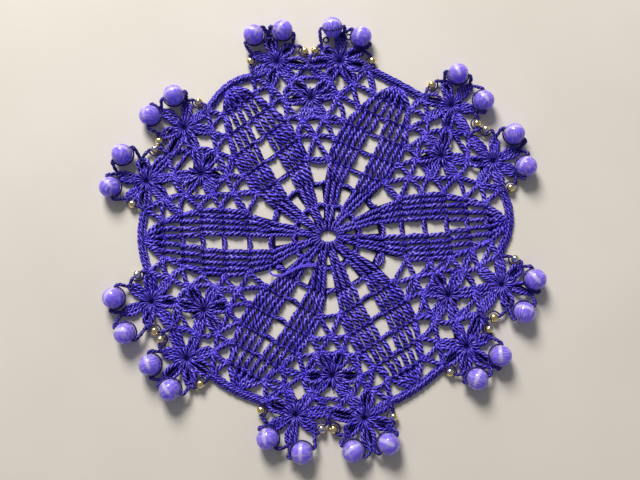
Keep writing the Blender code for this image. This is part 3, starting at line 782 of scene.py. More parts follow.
def strand(points, radius, thickness=(1.0,), uneven=1.0, slack=1.0):
    """A length of twisted thread through these points, as (point, radius, turn) for each step of it.

    Thickness is its radius along it, as shares of the radius given.
    """
    pitch = (PITCH_BASE + radius * max(thickness) * PITCH_PER_RADIUS) * chance.uniform(*PITCH_VARIES) * slack
    step = min(pitch / STEPS_PER_TURN, LONGEST_STEP)
    line = evenly(through(points), step)
    last = len(line) - 1
    sideways, upwards = (waves(last + 1, step, *SWAY_WAVES) for _ in range(2))
    swelling, turning = (waves(last + 1, step, *SWELL_WAVES) for _ in range(2))
    start = chance.uniform(0, math.tau)
    made = []
    for i, point in enumerate(line):
        along = line[min(i + 1, last)] - line[max(i - 1, 0)]
        across = left_of(along).to_3d()
        moved = point + (across * sideways[i] + Vector((0.0, 0.0, upwards[i] * SWAY_UP))) * SWAY * uneven
        swollen = radius * value_at(thickness, i / last) * (1 + SWELL * uneven * swelling[i])
        turn = start + S_TWIST * (math.tau * i * step / pitch + UNEVEN_TURN * turning[i])
        made.append((moved, swollen, turn))
    return made


def thread_piece(name, strands, material=plied_cotton):
    """All of a piece's strands as one mesh."""
    curve = bpy.data.curves.new(name, "CURVE")
    curve.dimensions = "3D"
    curve.bevel_mode = "OBJECT"
    curve.bevel_object = plied_profile
    curve.use_fill_caps = True
    for made in strands:
        spline = curve.splines.new("POLY")
        spline.points.add(len(made) - 1)
        for slot, (point, radius, turn) in zip(spline.points, made):
            slot.co = (*point, 1.0)
            slot.radius = radius
            slot.tilt = turn
    piece = mesh_from_curve(name, curve, material)
    shade_smooth(piece)
    thread_pieces.append(piece)
    return piece


PLAY = 0.00022  # how far a hand-made stitch strays


def raised(point, height):
    """A point of the chart at this height."""
    return Vector((point[0], point[1], height))


def strayed(point, height):
    """The same, a little off its place."""
    return Vector((point[0] + chance.uniform(-PLAY, PLAY), point[1] + chance.uniform(-PLAY, PLAY), height))


thread_pieces = []

# %% [markdown]
# ## The rosette
# The ring in the middle is a loop of thread that the first round is worked over, so its wraps stand side
# by side like the spokes of a wheel. Outside it are two rounds of tall stitches in twelve groups: two
# posts in each group of the first round, three in the second, and a short chain over each gap between
# groups.

# %% Wraps, then two rounds of posts
WRAPS, WRAP_RADIUS, WRAP_UNEVEN = 25, 0.00058, 0.15
WRAP_FROM = (RING_HOLE[0] - 0.0001, RING_HOLE[1] - 0.0001)  # a wrap starts just inside the hole
WRAP_REACH = (0.0080, 0.0072)
# along a wrap: the share of its length, its height, and its thickness as a share
WRAP_SHAPE = ((0.0, 0.0007, 0.8), (0.25, 0.0018, 0.9), (1.0, 0.0012, 1.0))
rosette = []
for i in range(WRAPS):
    t = math.tau * (i + chance.uniform(-WRAP_UNEVEN, WRAP_UNEVEN)) / WRAPS
    out = out_at(t)
    inner, outer = (RING_AT + Vector((out.x * x, out.y * y)) for x, y in (WRAP_FROM, WRAP_REACH))
    line = [raised(inner.lerp(outer, share), height) for share, height, _ in WRAP_SHAPE]
    rosette.append(strand(line, WRAP_RADIUS, [thick for _, _, thick in WRAP_SHAPE], uneven=NEAT))

ARCH_VARIES = (-0.0002, 0.0003)  # how much lower or higher than its fellows a post arches


def arched_post(foot, head, radius, heights, thickness):
    """A post from its foot to its head: heights at its foot, middle and head, and its thickness as shares."""
    rise = chance.uniform(*ARCH_VARIES)
    low, middle, high = heights
    line = [strayed(foot, low), strayed(foot.lerp(head, 0.5), middle + rise), strayed(head, high)]
    return strand(line, radius, thickness)


ROSETTE_RADIUS, ROSETTE_VARIES = 0.00108, (0.94, 1.06)
ROSETTE_HEIGHTS, ROSETTE_THICKNESS = (0.0011, 0.0014, 0.0011), (0.85, 1.0, 0.92)
FIRST_ROUND, SECOND_FROM, THIRD_FROM = (0.0072, 0.0150), 0.0146, LEAF_ROUNDS[3][0]
HEADS_ACROSS = (0.0042, 0.0072, 0.0101)  # where the second round's posts meet a leaf's first round
HEAD_PAST = 0.0003                       # how far they reach into it
# how far a round's posts and its edge are from their group's middle, as shares of the group's width
FIRST_AT, SECOND_AT, EDGE_AT = 0.17, 0.27, 0.36
LINE_RADIUS, LINE_HEIGHT = 0.00080, 0.0009


def rosette_post(foot, head):
    radius = ROSETTE_RADIUS * chance.uniform(*ROSETTE_VARIES)
    return arched_post(foot, head, radius, ROSETTE_HEIGHTS, ROSETTE_THICKNESS)


groups = len(GROUP_GAP_ANGLES)
for i, before in enumerate(GROUP_GAP_ANGLES):
    after = GROUP_GAP_ANGLES[(i + 1) % groups] + (360 if i == groups - 1 else 0)
    middle, width = (before + after) / 2, after - before
    for share in (-FIRST_AT, FIRST_AT):
        foot, head = (rosette_point(middle + share * width, radius) for radius in FIRST_ROUND)
        rosette.append(rosette_post(foot, head))
    leaf, side = (i + 1) // 2 % len(LEAVES), -1 if i % 2 == 0 else 1
    for k, across in enumerate(HEADS_ACROSS):
        share = SECOND_AT * (k - 1) * -side
        foot = rosette_point(middle + share * width, SECOND_FROM)
        rosette.append(rosette_post(foot, leaf_point(leaf, side * across, THIRD_FROM + HEAD_PAST)))
    line = [rosette_point(middle + share * width, FIRST_ROUND[1]) for share in (-EDGE_AT, 0.0, EDGE_AT)]
    rosette.append(strand([raised(point, LINE_HEIGHT) for point in line], LINE_RADIUS))

BAR_RADIUS, BAR_BOW, BAR_HEIGHT = 0.00094, 0.0010, 0.0010
BAR_TURN = 7.4  # degrees from a bar's middle to each of its ends


def bar(start, middle, end):
    """A short chain over a gap."""
    return strand([raised(point, BAR_HEIGHT) for point in (start, middle, end)], BAR_RADIUS)


for i, angle in enumerate(GROUP_GAP_ANGLES):
    low, high = (rosette_point(angle + side * BAR_TURN, FIRST_ROUND[1]) for side in (-1, 1))
    rosette.append(bar(low, rosette_point(angle, FIRST_ROUND[1] + BAR_BOW), high))
    if i % 2 == 0:  # over a leaf's middle; between two leaves, the net closes the gap
        low, high = (leaf_point(i // 2, side * HEADS_ACROSS[0], THIRD_FROM) for side in (-1, 1))
        rosette.append(bar(low, leaf_point(i // 2, 0.0, THIRD_FROM + BAR_BOW), high))
thread_piece("rosette_stitches", rosette)
print(len(rosette), "strands in the rosette")

# %% [markdown]
# ## The leaves
# A leaf is six rounds of tall stitches side by side. Each post is a rope from its foot to its head, and
# dips at both ends, where it goes into the round before and the round after, so that a dark line shows
# between two rounds. A thin chain runs along each round's edge, in and out between the posts, with a
# slanting loop over every post. Over the window down the middle, the round carries on as a thicker chain,
# which bows towards the ring. Where a leaf narrows, two posts at its edge are worked together into one
# head.

# %% Posts, the loops at their heads, and round lines
POST_RADIUS, POST_VARIES, POST_SHORT = 0.00126, (0.92, 1.08), 0.0005  # it stops short of the round's line
POST_HEIGHTS, POST_THICKNESS = (0.0007, 0.0016, 0.0008), (0.62, 1.0, 1.0, 0.74)
LEAF_FULLNESS = (1.02, 1.0, 1.12, 1.02, 1.0, 1.06)  # how thick each leaf's posts are: some were worked looser


def leaf_post(leaf, foot, head):
    radius = POST_RADIUS * LEAF_FULLNESS[leaf] * chance.uniform(*POST_VARIES)
    return arched_post(foot, head, radius, POST_HEIGHTS, POST_THICKNESS)


LOOP_RADIUS, LOOP_THICKNESS = 0.00054, (0.7, 1.0, 0.7)
LOOP_HALF, LOOP_SLANT, LOOP_VARIES = 0.0010, 0.45, (0.8, 1.1)  # half its length, and its slant as a share
LOOP_LOW, LOOP_HIGH = 0.0014, 0.0024


def head_loop(head, along):
    """The loop that closes a post, lying aslant over the round's line."""
    across = left_of(along)
    reach = along * LOOP_HALF * LOOP_SLANT + across * LOOP_HALF * chance.uniform(*LOOP_VARIES)
    line = [raised(head - reach, LOOP_LOW), strayed(head, LOOP_HIGH), raised(head + reach, LOOP_LOW)]
    return strand(line, LOOP_RADIUS, LOOP_THICKNESS, uneven=NEAT)


RIDGE_RADIUS, RIDGE_OUT, RIDGE_IN = 0.00062, 0.00036, 0.0006  # the chain along a round's edge, and its swing
RIDGE_HIGH, RIDGE_LOW = 0.0017, 0.0006


def scalloped(heads, along):
    """The chain along a round's edge: out and high over each post, in and low between two of them."""
    line = []
    for before, head in zip([None, *heads], heads):
        if before is not None:
            line.append(strayed(before.lerp(head, 0.5) - along * RIDGE_IN, RIDGE_LOW))
        line.append(strayed(head + along * RIDGE_OUT, RIDGE_HIGH))
    return line


# %% Six leaves
BAR_IN, BAR_SHORT = 0.0002, 0.0001  # how far a bar reaches into the posts beside it, and inside the round
for leaf in range(len(LEAVES)):
    posts, lines, last_heads = [], [], None
    along = turned(LEAVES[leaf][0], 0.0, 1.0) - RING_AT
    for stitch_round, (start, end, feet, heads) in LEAF_ROUNDS.items():
        feet, heads = both_sides(feet), both_sides(heads)
        pairs = list(zip(feet, heads))
        if last_heads and last_heads[-1] > feet[-1] + POST_RADIUS:  # two worked together, so a post leans in
            pairs += [(last_heads[0], heads[0]), (last_heads[-1], heads[-1])]
        for foot_across, head_across in pairs:
            foot = leaf_point(leaf, foot_across, start + POST_SHORT)
            head = leaf_point(leaf, head_across, end - POST_SHORT)
            posts.append(leaf_post(leaf, foot, head))
        line = [leaf_point(leaf, across, end) for across in heads]
        lines.append(strand(scalloped(line, along), RIDGE_RADIUS))
        if stitch_round < LAST_ROUND:
            posts += [head_loop(point, along) for point in line]
            inner = heads[len(heads) // 2] - BAR_IN
            ends = [leaf_point(leaf, side * inner, end - BAR_SHORT) for side in (-1, 1)]
            posts.append(bar(ends[0], leaf_point(leaf, 0.0, end - BAR_BOW), ends[1]))
        last_heads = heads
    piece = thread_piece(f"leaf_{leaf + 1}", posts)
    # The round lines take the doubled cotton, whose darker colour is painted shade between the rounds.
    thread_piece(f"leaf_round_lines_{leaf + 1}", lines, shaded_edging_cotton)
    print(piece.name, len(posts), "strands, and", len(lines), "in its round lines")

# %% [markdown]
# ## The net
# The net is chains and tall stitches hooked into each other and into the leaves. Its strands come from the
# list above, each with a slight bow of its own, since none of them is pulled quite straight. A quarter of
# them have a thinner chain beside them. Where strands are hooked together there is a knot, and where a
# petal's tip is caught there is a whirl of small loops.

# %% Strands, knots and whirls
LEG_RADIUS, CHAIN_RADIUS, NET_VARIES = 0.00130, 0.00120, (0.92, 1.08)
NET_THICKNESS, NET_RISE = (0.85, 1.0, 0.85), 1.15  # the rise: how high its middle is, in its own radii
NET_PLAY, BOW = 0.0004, 0.0010


def bowed_strand(start, end, away_from, radius):
    """A strand of the net, bowed a little by chance, and also away from a point where one is given."""
    across = left_of(end - start)
    bow = chance.uniform(-NET_PLAY, NET_PLAY)
    if away_from is not None:
        bow += BOW if across.dot(start - away_from) > 0 else -BOW
    middle = start.lerp(end, 0.5) + across * bow
    radius *= chance.uniform(*NET_VARIES)
    line = [raised(start, radius), strayed(middle, radius * NET_RISE), raised(end, radius)]
    return strand(line, radius, NET_THICKNESS)


SECOND_SHARE, SECOND_RADIUS, SECOND_RISE = 0.25, 0.00080, 1.6
SECOND_BOW = (0.0012, 0.0018)
SECOND_SHAPE = ((0.25, 0.8), (0.5, 1.0), (0.75, 0.8))  # along it: shares of its length, and of its bow


def second_chain(start, end):
    """A thinner chain beside a strand of the net, bowed away from it to one side."""
    across = left_of(end - start) * chance.choice((-1, 1)) * chance.uniform(*SECOND_BOW)
    height = SECOND_RADIUS * SECOND_RISE
    line = [raised(start.lerp(end, share) + across * bow, height) for share, bow in SECOND_SHAPE]
    return strand([raised(start, SECOND_RADIUS), *line, raised(end, SECOND_RADIUS)], SECOND_RADIUS)


KNOT_RADIUS, KNOT_TURNS, KNOT_STEPS = 0.00074, 1.3, 8
KNOT_REACH, KNOT_WINDS_IN = 0.0011, (1.15, 0.85)
KNOT_HEIGHT, KNOT_RISE = 0.0016, 0.0003


def knot(point, height=KNOT_HEIGHT):
    """A short curl of thread where strands are hooked together."""
    start = chance.uniform(0, math.tau)
    line = []
    for i in range(KNOT_STEPS + 1):
        share = i / KNOT_STEPS
        t = start + math.tau * KNOT_TURNS * share
        reach = KNOT_REACH * value_at(KNOT_WINDS_IN, share)
        place = (point[0] + math.cos(t) * reach, point[1] + math.sin(t) * reach)
        line.append(raised(place, height + KNOT_RISE * share))
    return strand(line, KNOT_RADIUS)


WHIRL_RAYS, WHIRL_UNEVEN, WHIRL_RADIUS = 7, 0.25, 0.00056
WHIRL_REACH, WHIRL_VARIES, PIT_CLEAR = 0.0023, (0.8, 1.15), 0.0005  # the pit is the whirl's dark middle
WHIRL_HEIGHTS, WHIRL_CREST = (0.0015, 0.0019, 0.0012), 0.6
WHIRL_THICKNESS = (0.7, 1.0, 1.0, 0.8)


def whirl(point):
    """Loops that are pulled into one stitch from all sides, which leaves a dark pit in their middle."""
    start, loops = chance.uniform(0, math.tau), []
    for i in range(WHIRL_RAYS):
        t = start + math.tau * (i + chance.uniform(-WHIRL_UNEVEN, WHIRL_UNEVEN)) / WHIRL_RAYS
        out = out_at(t)
        reach = WHIRL_REACH * chance.uniform(*WHIRL_VARIES)
        places = (PIT_CLEAR, reach * WHIRL_CREST, reach)
        line = [raised(Vector(point) + out * far, height) for far, height in zip(places, WHIRL_HEIGHTS)]
        loops.append(strand(line, WHIRL_RADIUS, WHIRL_THICKNESS, uneven=NEAT))
    return loops


# %% Six nets
WHIRLED = ("low", "side", "high", "net_outer", "rim")
for field in range(len(FIELDS)):
    nodes = nodes_of[field]
    legs, chains = net_strands(field)
    edge, _, joint = field_places(field)
    net = [bowed_strand(*ends, LEG_RADIUS) for ends in legs]
    net += [bowed_strand(*ends, CHAIN_RADIUS) for ends in chains]
    net += [second_chain(start, end) for start, end, _ in (*legs, *chains) if chance.random() < SECOND_SHARE]
    net += [knot(point) for point in (joint, *edge.values())]
    for name in WHIRLED:
        net += whirl(nodes[name, -1]) + whirl(nodes[name, 1])
    piece = thread_piece(f"net_{field + 1}", net)
    print(piece.name, len(net), "strands")

# %% [markdown]
# ## The flowers
# Each petal is a bundle of tall stitches that start together in the flower's centre, swell, and are
# gathered into one point at the tip. So a petal is a few strands that part and meet again, thickest at two
# thirds of their length. They start 4 mm out, and in the centre there are spokes, the thin lower ends of
# the stitches, which all come out of one loop and leave a dark pit. Nearly half of the petals are cupped:
# their outer strands stand higher than the inner ones.

# %% A petal
PETAL_STRAND_RADIUS, PETAL_SPREAD, PETAL_FROM = 0.00104, 0.0017, 0.0040
# along a petal, as shares: how far its outer strands are from its middle, and how thick its strands are
PETAL_SHAPE = ((0.0, 0.50, 0.62), (0.30, 0.90, 0.92), (0.58, 1.0, 1.0), (0.80, 0.80, 1.0), (0.96, 0.34, 0.80))
PETAL_LEAN, WIDTH_VARIES = 0.0006, (0.85, 1.15)
STRAND_ASIDE, STRAND_RISES, STRAND_VARIES = 0.12, (-0.0002, 0.0004), (0.88, 1.10)
PETAL_LOW, PETAL_ARCH = 0.0010, 0.0004
# a cupped petal: its sides stand up, its middle lies lower, it is wider, and its inner strands are thinner
CUP_UP, CUP_DOWN, CUP_WIDENS, CUP_THINS = 0.0011, 0.0009, 0.25, 0.35
INNER_FALLS = 1.5  # a strand is an inner one less and less, up to two thirds of the way to the petal's side


def petal_strands(centre, tip, count, cup, fullness):
    """A petal's strands to its tip; cup is how much its outer ones stand above its middle, from 0 to 1."""
    along = tip - centre
    length = along.length
    along.normalize()
    across = left_of(along)
    lean = chance.uniform(-PETAL_LEAN, PETAL_LEAN)
    wide = fullness * (chance.uniform(*WIDTH_VARIES) + CUP_WIDENS * cup)
    strands = []
    for i in range(count):
        side = 2 * i / (count - 1) - 1 + chance.uniform(-STRAND_ASIDE, STRAND_ASIDE)
        own_rise = chance.uniform(*STRAND_RISES)
        inner = 1 - min(1, abs(side) * INNER_FALLS)
        cupping = cup * (CUP_UP * abs(side) - CUP_DOWN * inner)
        line = []
        for share, width, _ in PETAL_SHAPE:
            arch = math.sin(math.pi * share)
            spread = side * PETAL_SPREAD * width * wide + lean * arch
            out = PETAL_FROM + (length - PETAL_FROM) * share
            height = PETAL_LOW + arch * (PETAL_ARCH + own_rise + cupping)
            line.append(raised(centre + along * out + across * spread, height))
        size = PETAL_STRAND_RADIUS * chance.uniform(*STRAND_VARIES) * (1 - CUP_THINS * cup * inner)
        strands.append(strand(line, size, [thick for _, _, thick in PETAL_SHAPE]))
    return strands


# %% A flower's middle
SPOKES_PER_PETAL, SPOKE_SLACK, SPOKE_UNEVEN, SPOKE_VARIES = 2.5, 2.5, 0.22, (0.88, 1.08)
SPOKE_RADIUS, SPOKE_NEAT = 0.00050, 0.6
# along a spoke: distance from the flower's centre, height, and thickness as a share
SPOKE_SHAPE = (
    (0.0011, 0.0005, 0.48), (0.0019, 0.0016, 0.72), (0.0034, 0.0021, 1.0), (0.0048, 0.0020, 1.24),
    (0.0062, 0.0012, 1.0),
)


def spokes(centre, petals):
    """The lower ends of a flower's stitches, which all come out of one loop and leave a pit."""
    count, start, made = round(petals * SPOKES_PER_PETAL), chance.uniform(0, math.tau), []
    for i in range(count):
        t = start + math.tau * (i + chance.uniform(-SPOKE_UNEVEN, SPOKE_UNEVEN)) / count
        out = out_at(t)
        reach = chance.uniform(*SPOKE_VARIES)
        line = []  # the two points at the pit's edge keep their distance, and the others vary
        for k, (far, up, _) in enumerate(SPOKE_SHAPE):
            line.append(raised(centre + out * far * (reach if k > 1 else 1), up))
        thickness = [thick for _, _, thick in SPOKE_SHAPE]
        made.append(strand(line, SPOKE_RADIUS, thickness, uneven=SPOKE_NEAT, slack=SPOKE_SLACK))
    return made


# %% Eighteen flowers
CUPPED_SHARE = 0.45
CUPPED_STRANDS, FULL_CUP = 3, 1.0
FLAT_STRANDS, SLIGHT_CUP = (3, 4, 4), 0.1    # how many strands, by chance
OUTER_FULLNESS, INNER_FULLNESS = 1.14, 1.26  # the inner flowers have fewer petals, and wider ones


def flower(centre, tips, fullness):
    """All the strands of a flower with these petal tips."""
    strands = spokes(centre, len(tips))
    for tip in tips:
        if chance.random() < CUPPED_SHARE:
            strands += petal_strands(centre, tip, CUPPED_STRANDS, FULL_CUP, fullness)
        else:
            strands += petal_strands(centre, tip, chance.choice(FLAT_STRANDS), SLIGHT_CUP, fullness)
    return strands


for field in range(len(FIELDS)):
    nodes = nodes_of[field]
    tips = [nodes[name, s] for s in (-1, 1) for name in INNER_PETALS]
    thread_piece(f"inner_flower_{field + 1}", flower(nodes["inner", 0], tips, INNER_FULLNESS))
    for k, s in enumerate((-1, 1)):
        tips = [nodes[name, s] for name in ("first", "second", "third", "rim", "net_outer", "high")]
        rim_flower = flower(nodes["rim_centre", s], [nodes["middle", 0], *tips], OUTER_FULLNESS)
        thread_piece(f"rim_flower_{2 * field + k + 1:02}", rim_flower)
print(3 * len(FIELDS), "flowers")

# %% [markdown]
# ## The rim braid
# Over each leaf's tip the rim is a chain with stitches worked over it, which shows as rows of slanted
# stitches. Three ropes side by side give them, with the thickest and highest one in the middle.

# %% Six braids
# row: (distance to the outside, height, radius)
BRAID_ROWS = ((0.0013, 0.0012, 0.00084), (0.0, 0.0020, 0.00090), (-0.0013, 0.0009, 0.00074))
for leaf, line in enumerate(braids):
    rows = []
    for aside, height, radius in BRAID_ROWS:
        rows.append(strand([raised(point, height) for point in offset_line(line, aside)], radius))
    thread_piece(f"rim_braid_{leaf + 1}", rows)
print(len(braids), "braids")

# %% [markdown]
# ## The beads
# A bead is a sphere with a bore. The operator's sphere has its poles on Z, so the pole points are taken
# away and the two open rings are bridged through the middle, which is the bore. Each bead is turned along
# its thread and keeps the imported model's place. The satin attribute is worked out here, from a fibre
# direction that is at right angles to where the window's light comes back to the eye, give or take a
# little from bead to bead, so that the painted highlight band lies on the side that faces the window.

# %% Where the beads are on their thread
LARGE_BEADS_AT = (
    ((-0.0290, 0.0976), (-0.0108, 0.0997), (0.0109, 0.1017), (0.0272, 0.0966)),
    ((-0.0259, 0.1031), (-0.0115, 0.1040), (0.0130, 0.1029), (0.0267, 0.0965)),
    ((-0.0230, 0.1039), (-0.0061, 0.1060), (0.0166, 0.1028), (0.0307, 0.0969)),
    ((-0.0208, 0.0998), (-0.0061, 0.1017), (0.0125, 0.1040), (0.0295, 0.1001)),
    ((-0.0238, 0.0966), (-0.0075, 0.0993), (0.0155, 0.0993), (0.0309, 0.0924)),
    ((-0.0234, 0.0961), (-0.0070, 0.0976), (0.0160, 0.0959), (0.0304, 0.0905)),
)
SMALL_BEADS_AT = (
    ((-0.0323, 0.0846), (-0.0038, 0.0910), (0.0010, 0.0926), (0.0310, 0.0850)),
    ((-0.0288, 0.0905), (-0.0017, 0.0930), (0.0034, 0.0929), (0.0308, 0.0845)),
    ((-0.0255, 0.0912), (0.0031, 0.0936), (0.0076, 0.0935), (0.0334, 0.0852)),
    ((-0.0259, 0.0871), (0.0014, 0.0918), (0.0063, 0.0921), (0.0334, 0.0854)),
    ((-0.0267, 0.0848), (0.0008, 0.0894), (0.0062, 0.0892), (0.0337, 0.0797)),
    ((-0.0287, 0.0840), (0.0009, 0.0863), (0.0069, 0.0865), (0.0327, 0.0783)),
)
# kind: (radius, centre above the ground, segments round it, rings)
BEADS = {"large": (0.0050, 0.0050, 36, 18), "small": (0.0020, 0.0023, 20, 10)}
# the one bead with its strand over its top: its field and its place there, and its turn in degrees
CROSSED_BEAD, CROSSED_TURN = (1, 5), -18
THREADED = ("small", "large", "large", "small", "small", "large", "large", "small")
HOOK_IN, HOOK_HEIGHT = 0.0010, 0.0011  # how far inside a petal's tip the edging is hooked


def edging_places(field):
    """One field's hooks in the petal tips, and its beads: (kind, centre, direction, towards the flower)."""
    nodes = nodes_of[field]
    places = {"large": iter(LARGE_BEADS_AT[field]), "small": iter(SMALL_BEADS_AT[field])}
    tips = [(nodes[name, -1], nodes["rim_centre", -1]) for name in ("rim", "third", "second", "first")]
    tips.append((nodes["middle", 0], RING_AT))
    tips += [(nodes[name, 1], nodes["rim_centre", 1]) for name in ("first", "second", "third", "rim")]
    hooks = [raised(tip + (centre - tip).normalized() * HOOK_IN, HOOK_HEIGHT) for tip, centre in tips]
    beads = []
    for i, (start, end) in enumerate(zip(hooks, hooks[1:])):
        kind = THREADED[i]
        place = turned(FIELDS[field][0], *next(places[kind]))
        direction = (end - start).normalized()
        towards = tips[i][1] if kind == "large" else RING_AT
        if kind == "large":
            out = place - towards
            direction = (direction + Vector((out.y, -out.x, 0.0)).normalized()).normalized()
        if (field, i) == CROSSED_BEAD:
            direction.rotate(Matrix.Rotation(math.radians(CROSSED_TURN), 3, "Z"))
        inwards = Vector((-direction.y, direction.x, 0.0))
        if inwards.dot((towards - place).to_3d()) < 0:
            inwards.negate()
        beads.append((kind, raised(place, BEADS[kind][1]), direction, inwards))
    return hooks, beads


edgings = [edging_places(field) for field in range(len(FIELDS))]
print(sum(len(beads) for _, beads in edgings), "beads on", len(edgings), "threads")

# %% Make the beads
# Each large bead's painted highlight band is turned towards this direction.
GLINT = Vector((-0.25, 0.38, 0.89)).normalized()  # about where the window's light comes back to the eye
GLINT_VARIES, STREAK_SHIFT = 0.22, 9  # no two beads have the same streaks
POLE = 0.9999  # the share of its radius from which a point is the sphere's pole


def bead_piece(name, kind, centre, direction, material):
    """A bored bead on its thread."""
    radius, _, segments, rings = BEADS[kind]
    bm = bmesh.new()
    bmesh.ops.create_uvsphere(bm, u_segments=segments, v_segments=rings, radius=radius)
    poles = [v for v in bm.verts if abs(v.co.z) > radius * POLE]
    bmesh.ops.delete(bm, geom=poles, context="VERTS")
    bmesh.ops.bridge_loops(bm, edges=[e for e in bm.edges if e.is_boundary])
    turn = direction.to_track_quat("Z", "Y").to_matrix().to_4x4()
    bmesh.ops.transform(bm, matrix=Matrix.Translation(centre) @ turn, verts=bm.verts)
    bmesh.ops.recalc_face_normals(bm, faces=bm.faces)
    mesh = bpy.data.meshes.new(name)
    bm.to_mesh(mesh)
    bm.free()
    piece = add_piece(name, mesh, material)
    shade_smooth(piece)
    return piece


def add_fibres_and_glint(piece, centre, radius):
    """The place of each point of a bead from its fibres: x along them, z towards its painted highlight band.
    """
    glint = (GLINT + Vector([chance.uniform(-GLINT_VARIES, GLINT_VARIES) for _ in range(3)])).normalized()
    aside = glint.orthogonal().normalized()
    aside.rotate(Matrix.Rotation(chance.uniform(0, math.pi), 3, glint))
    other = glint.cross(aside)
    shift = chance.uniform(0, STREAK_SHIFT)
    satin = piece.data.attributes.new("satin", "FLOAT_VECTOR", "POINT")
    for vertex, slot in zip(piece.data.vertices, satin.data):
        place = (vertex.co - centre) / radius
        slot.vector = (place.dot(aside), place.dot(other) + shift, place.dot(glint))


bead_pieces, numbers = [], dict.fromkeys(BEADS, 0)
for _, beads in edgings:
    for kind, centre, direction, _ in beads:
        numbers[kind] += 1
        node = f"{kind}_bead_{numbers[kind]:02}"
        material = satin_glass if kind == "large" else coated_metal
        piece = bead_piece(f"{kind}_glass_bead_{numbers[kind]:02}", kind, centre, direction, material)
        if kind == "large":
            add_fibres_and_glint(piece, centre, BEADS[kind][0])
        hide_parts(node)
        bead_pieces.append(piece)
print(numbers, "beads made")

# %% [markdown]
# ## The edging thread
# One doubled thread runs along the rim from petal tip to petal tip, in a colour darkened as painted shade.
# It goes through each bead's bore, and a thin strand comes back round the side of the bead that faces the
# flower; it is painted nearly black as the shade tucked against the bead, and shows as a dark line. On one
# bead it lies over the top. Small open loops of spare thread stand off the tips beside that bead.

# %% The thread through a bead, and round it
CORD_RADIUS, CORD_THICKNESS = 0.00088, (0.9, 1.0, 1.05, 0.6)
MOUTH_CLEAR, IN_BORE = 0.0010, 0.8  # how far off a bead the thread turns in, and how deep it goes, as a share
BEND_AT, BEND_UP, BEND_OUT = 0.55, 0.0006, 0.0004  # on its way to a bead, it bends up and outwards
HOOK_KNOT_HEIGHT = 0.0019
RETURN_RADIUS, RETURN_GAP = 0.00044, {"large": 0.00005, "small": 0.00050}  # its gap is from the bead
RETURN_STEPS, RETURN_FROM, RETURN_DROOP = 8, 4, 0.15  # it starts 4 degrees from the bore, and droops
OVER_INWARDS, OVER_UP = 0.64, 0.77  # the lean of the strand over a bead's top


def round_bead(kind, centre, direction, inwards):
    """The strand round a bead's inner side, from mouth to mouth."""
    radius = BEADS[kind][0]
    reach = radius + RETURN_GAP[kind] + RETURN_RADIUS
    line = []
    for i in range(RETURN_STEPS + 1):
        t = math.radians(RETURN_FROM + (180 - 2 * RETURN_FROM) * i / RETURN_STEPS)
        place = centre + (inwards * math.sin(t) - direction * math.cos(t)) * reach
        if inwards.z == 0:
            place.z -= centre.z * RETURN_DROOP * math.sin(t)
        line.append(place)
    return strand(line, RETURN_RADIUS, uneven=NEATEST)


# each loop: (x, y, radius)
OPEN_LOOPS = ((0.0027, 0.0959, 0.0013), (0.0138, 0.0974, 0.0012), (0.0113, 0.0982, 0.0009))
OPEN_STEPS, OPEN_HEIGHT, OPEN_TILT, OPEN_THREAD = 10, 0.0030, 0.0003, RETURN_RADIUS * 1.1


def open_loop(x, y, reach):
    """A small loop of spare thread that stands off a petal's tip, between two beads."""
    line = []
    for i in range(OPEN_STEPS + 1):
        t = math.tau * i / OPEN_STEPS
        place = (x + math.cos(t) * reach, y + math.sin(t) * reach)
        line.append(raised(place, OPEN_HEIGHT + OPEN_TILT * math.sin(t)))
    return strand(line, OPEN_THREAD, uneven=NEAT)


def bead_cord(hook, centre, outwards, radius):
    """The doubled thread from a hook into a bead's bore; outwards is the bore's direction at this side."""
    mouth = centre + outwards * (radius + MOUTH_CLEAR)
    bend = hook.lerp(mouth, BEND_AT) + Vector((0, 0, BEND_UP)) + outwards * BEND_OUT
    inside = centre + outwards * radius * IN_BORE
    return strand([hook, bend, mouth, inside], CORD_RADIUS, CORD_THICKNESS)


# %% Six edging threads
for field, (hooks, beads) in enumerate(edgings):
    cords, returns = [], []
    if field == CROSSED_BEAD[0]:
        returns += [open_loop(*loop) for loop in OPEN_LOOPS]
    for i, (kind, centre, direction, inwards) in enumerate(beads):
        for hook, outwards in ((hooks[i], -direction), (hooks[i + 1], direction)):
            cords.append(bead_cord(hook, centre, outwards, BEADS[kind][0]))
        if (field, i) == CROSSED_BEAD:
            inwards = inwards * OVER_INWARDS + Vector((0.0, 0.0, OVER_UP))
        returns.append(round_bead(kind, centre, direction, inwards))
    cords += [knot(hook, HOOK_KNOT_HEIGHT) for hook in hooks]
    # The doubled thread's darker colour is painted shade.
    thread_piece(f"edging_thread_{field + 1}", cords, shaded_edging_cotton)
    # The thread back round each bead is painted nearly black, as the shade tucked against the bead.
    piece = thread_piece(f"edging_return_{field + 1}", returns, shaded_thin_cotton)
    print(piece.name, len(cords) + len(returns), "strands")

# %% [markdown]
# ## The loose end
# One end of the thread was left on top of the lace, near the ring. Its plies have come apart a little, so
# it is paler and smoother than the stitches. It hooks back at its outer end, and lies on the stitches
# below it.

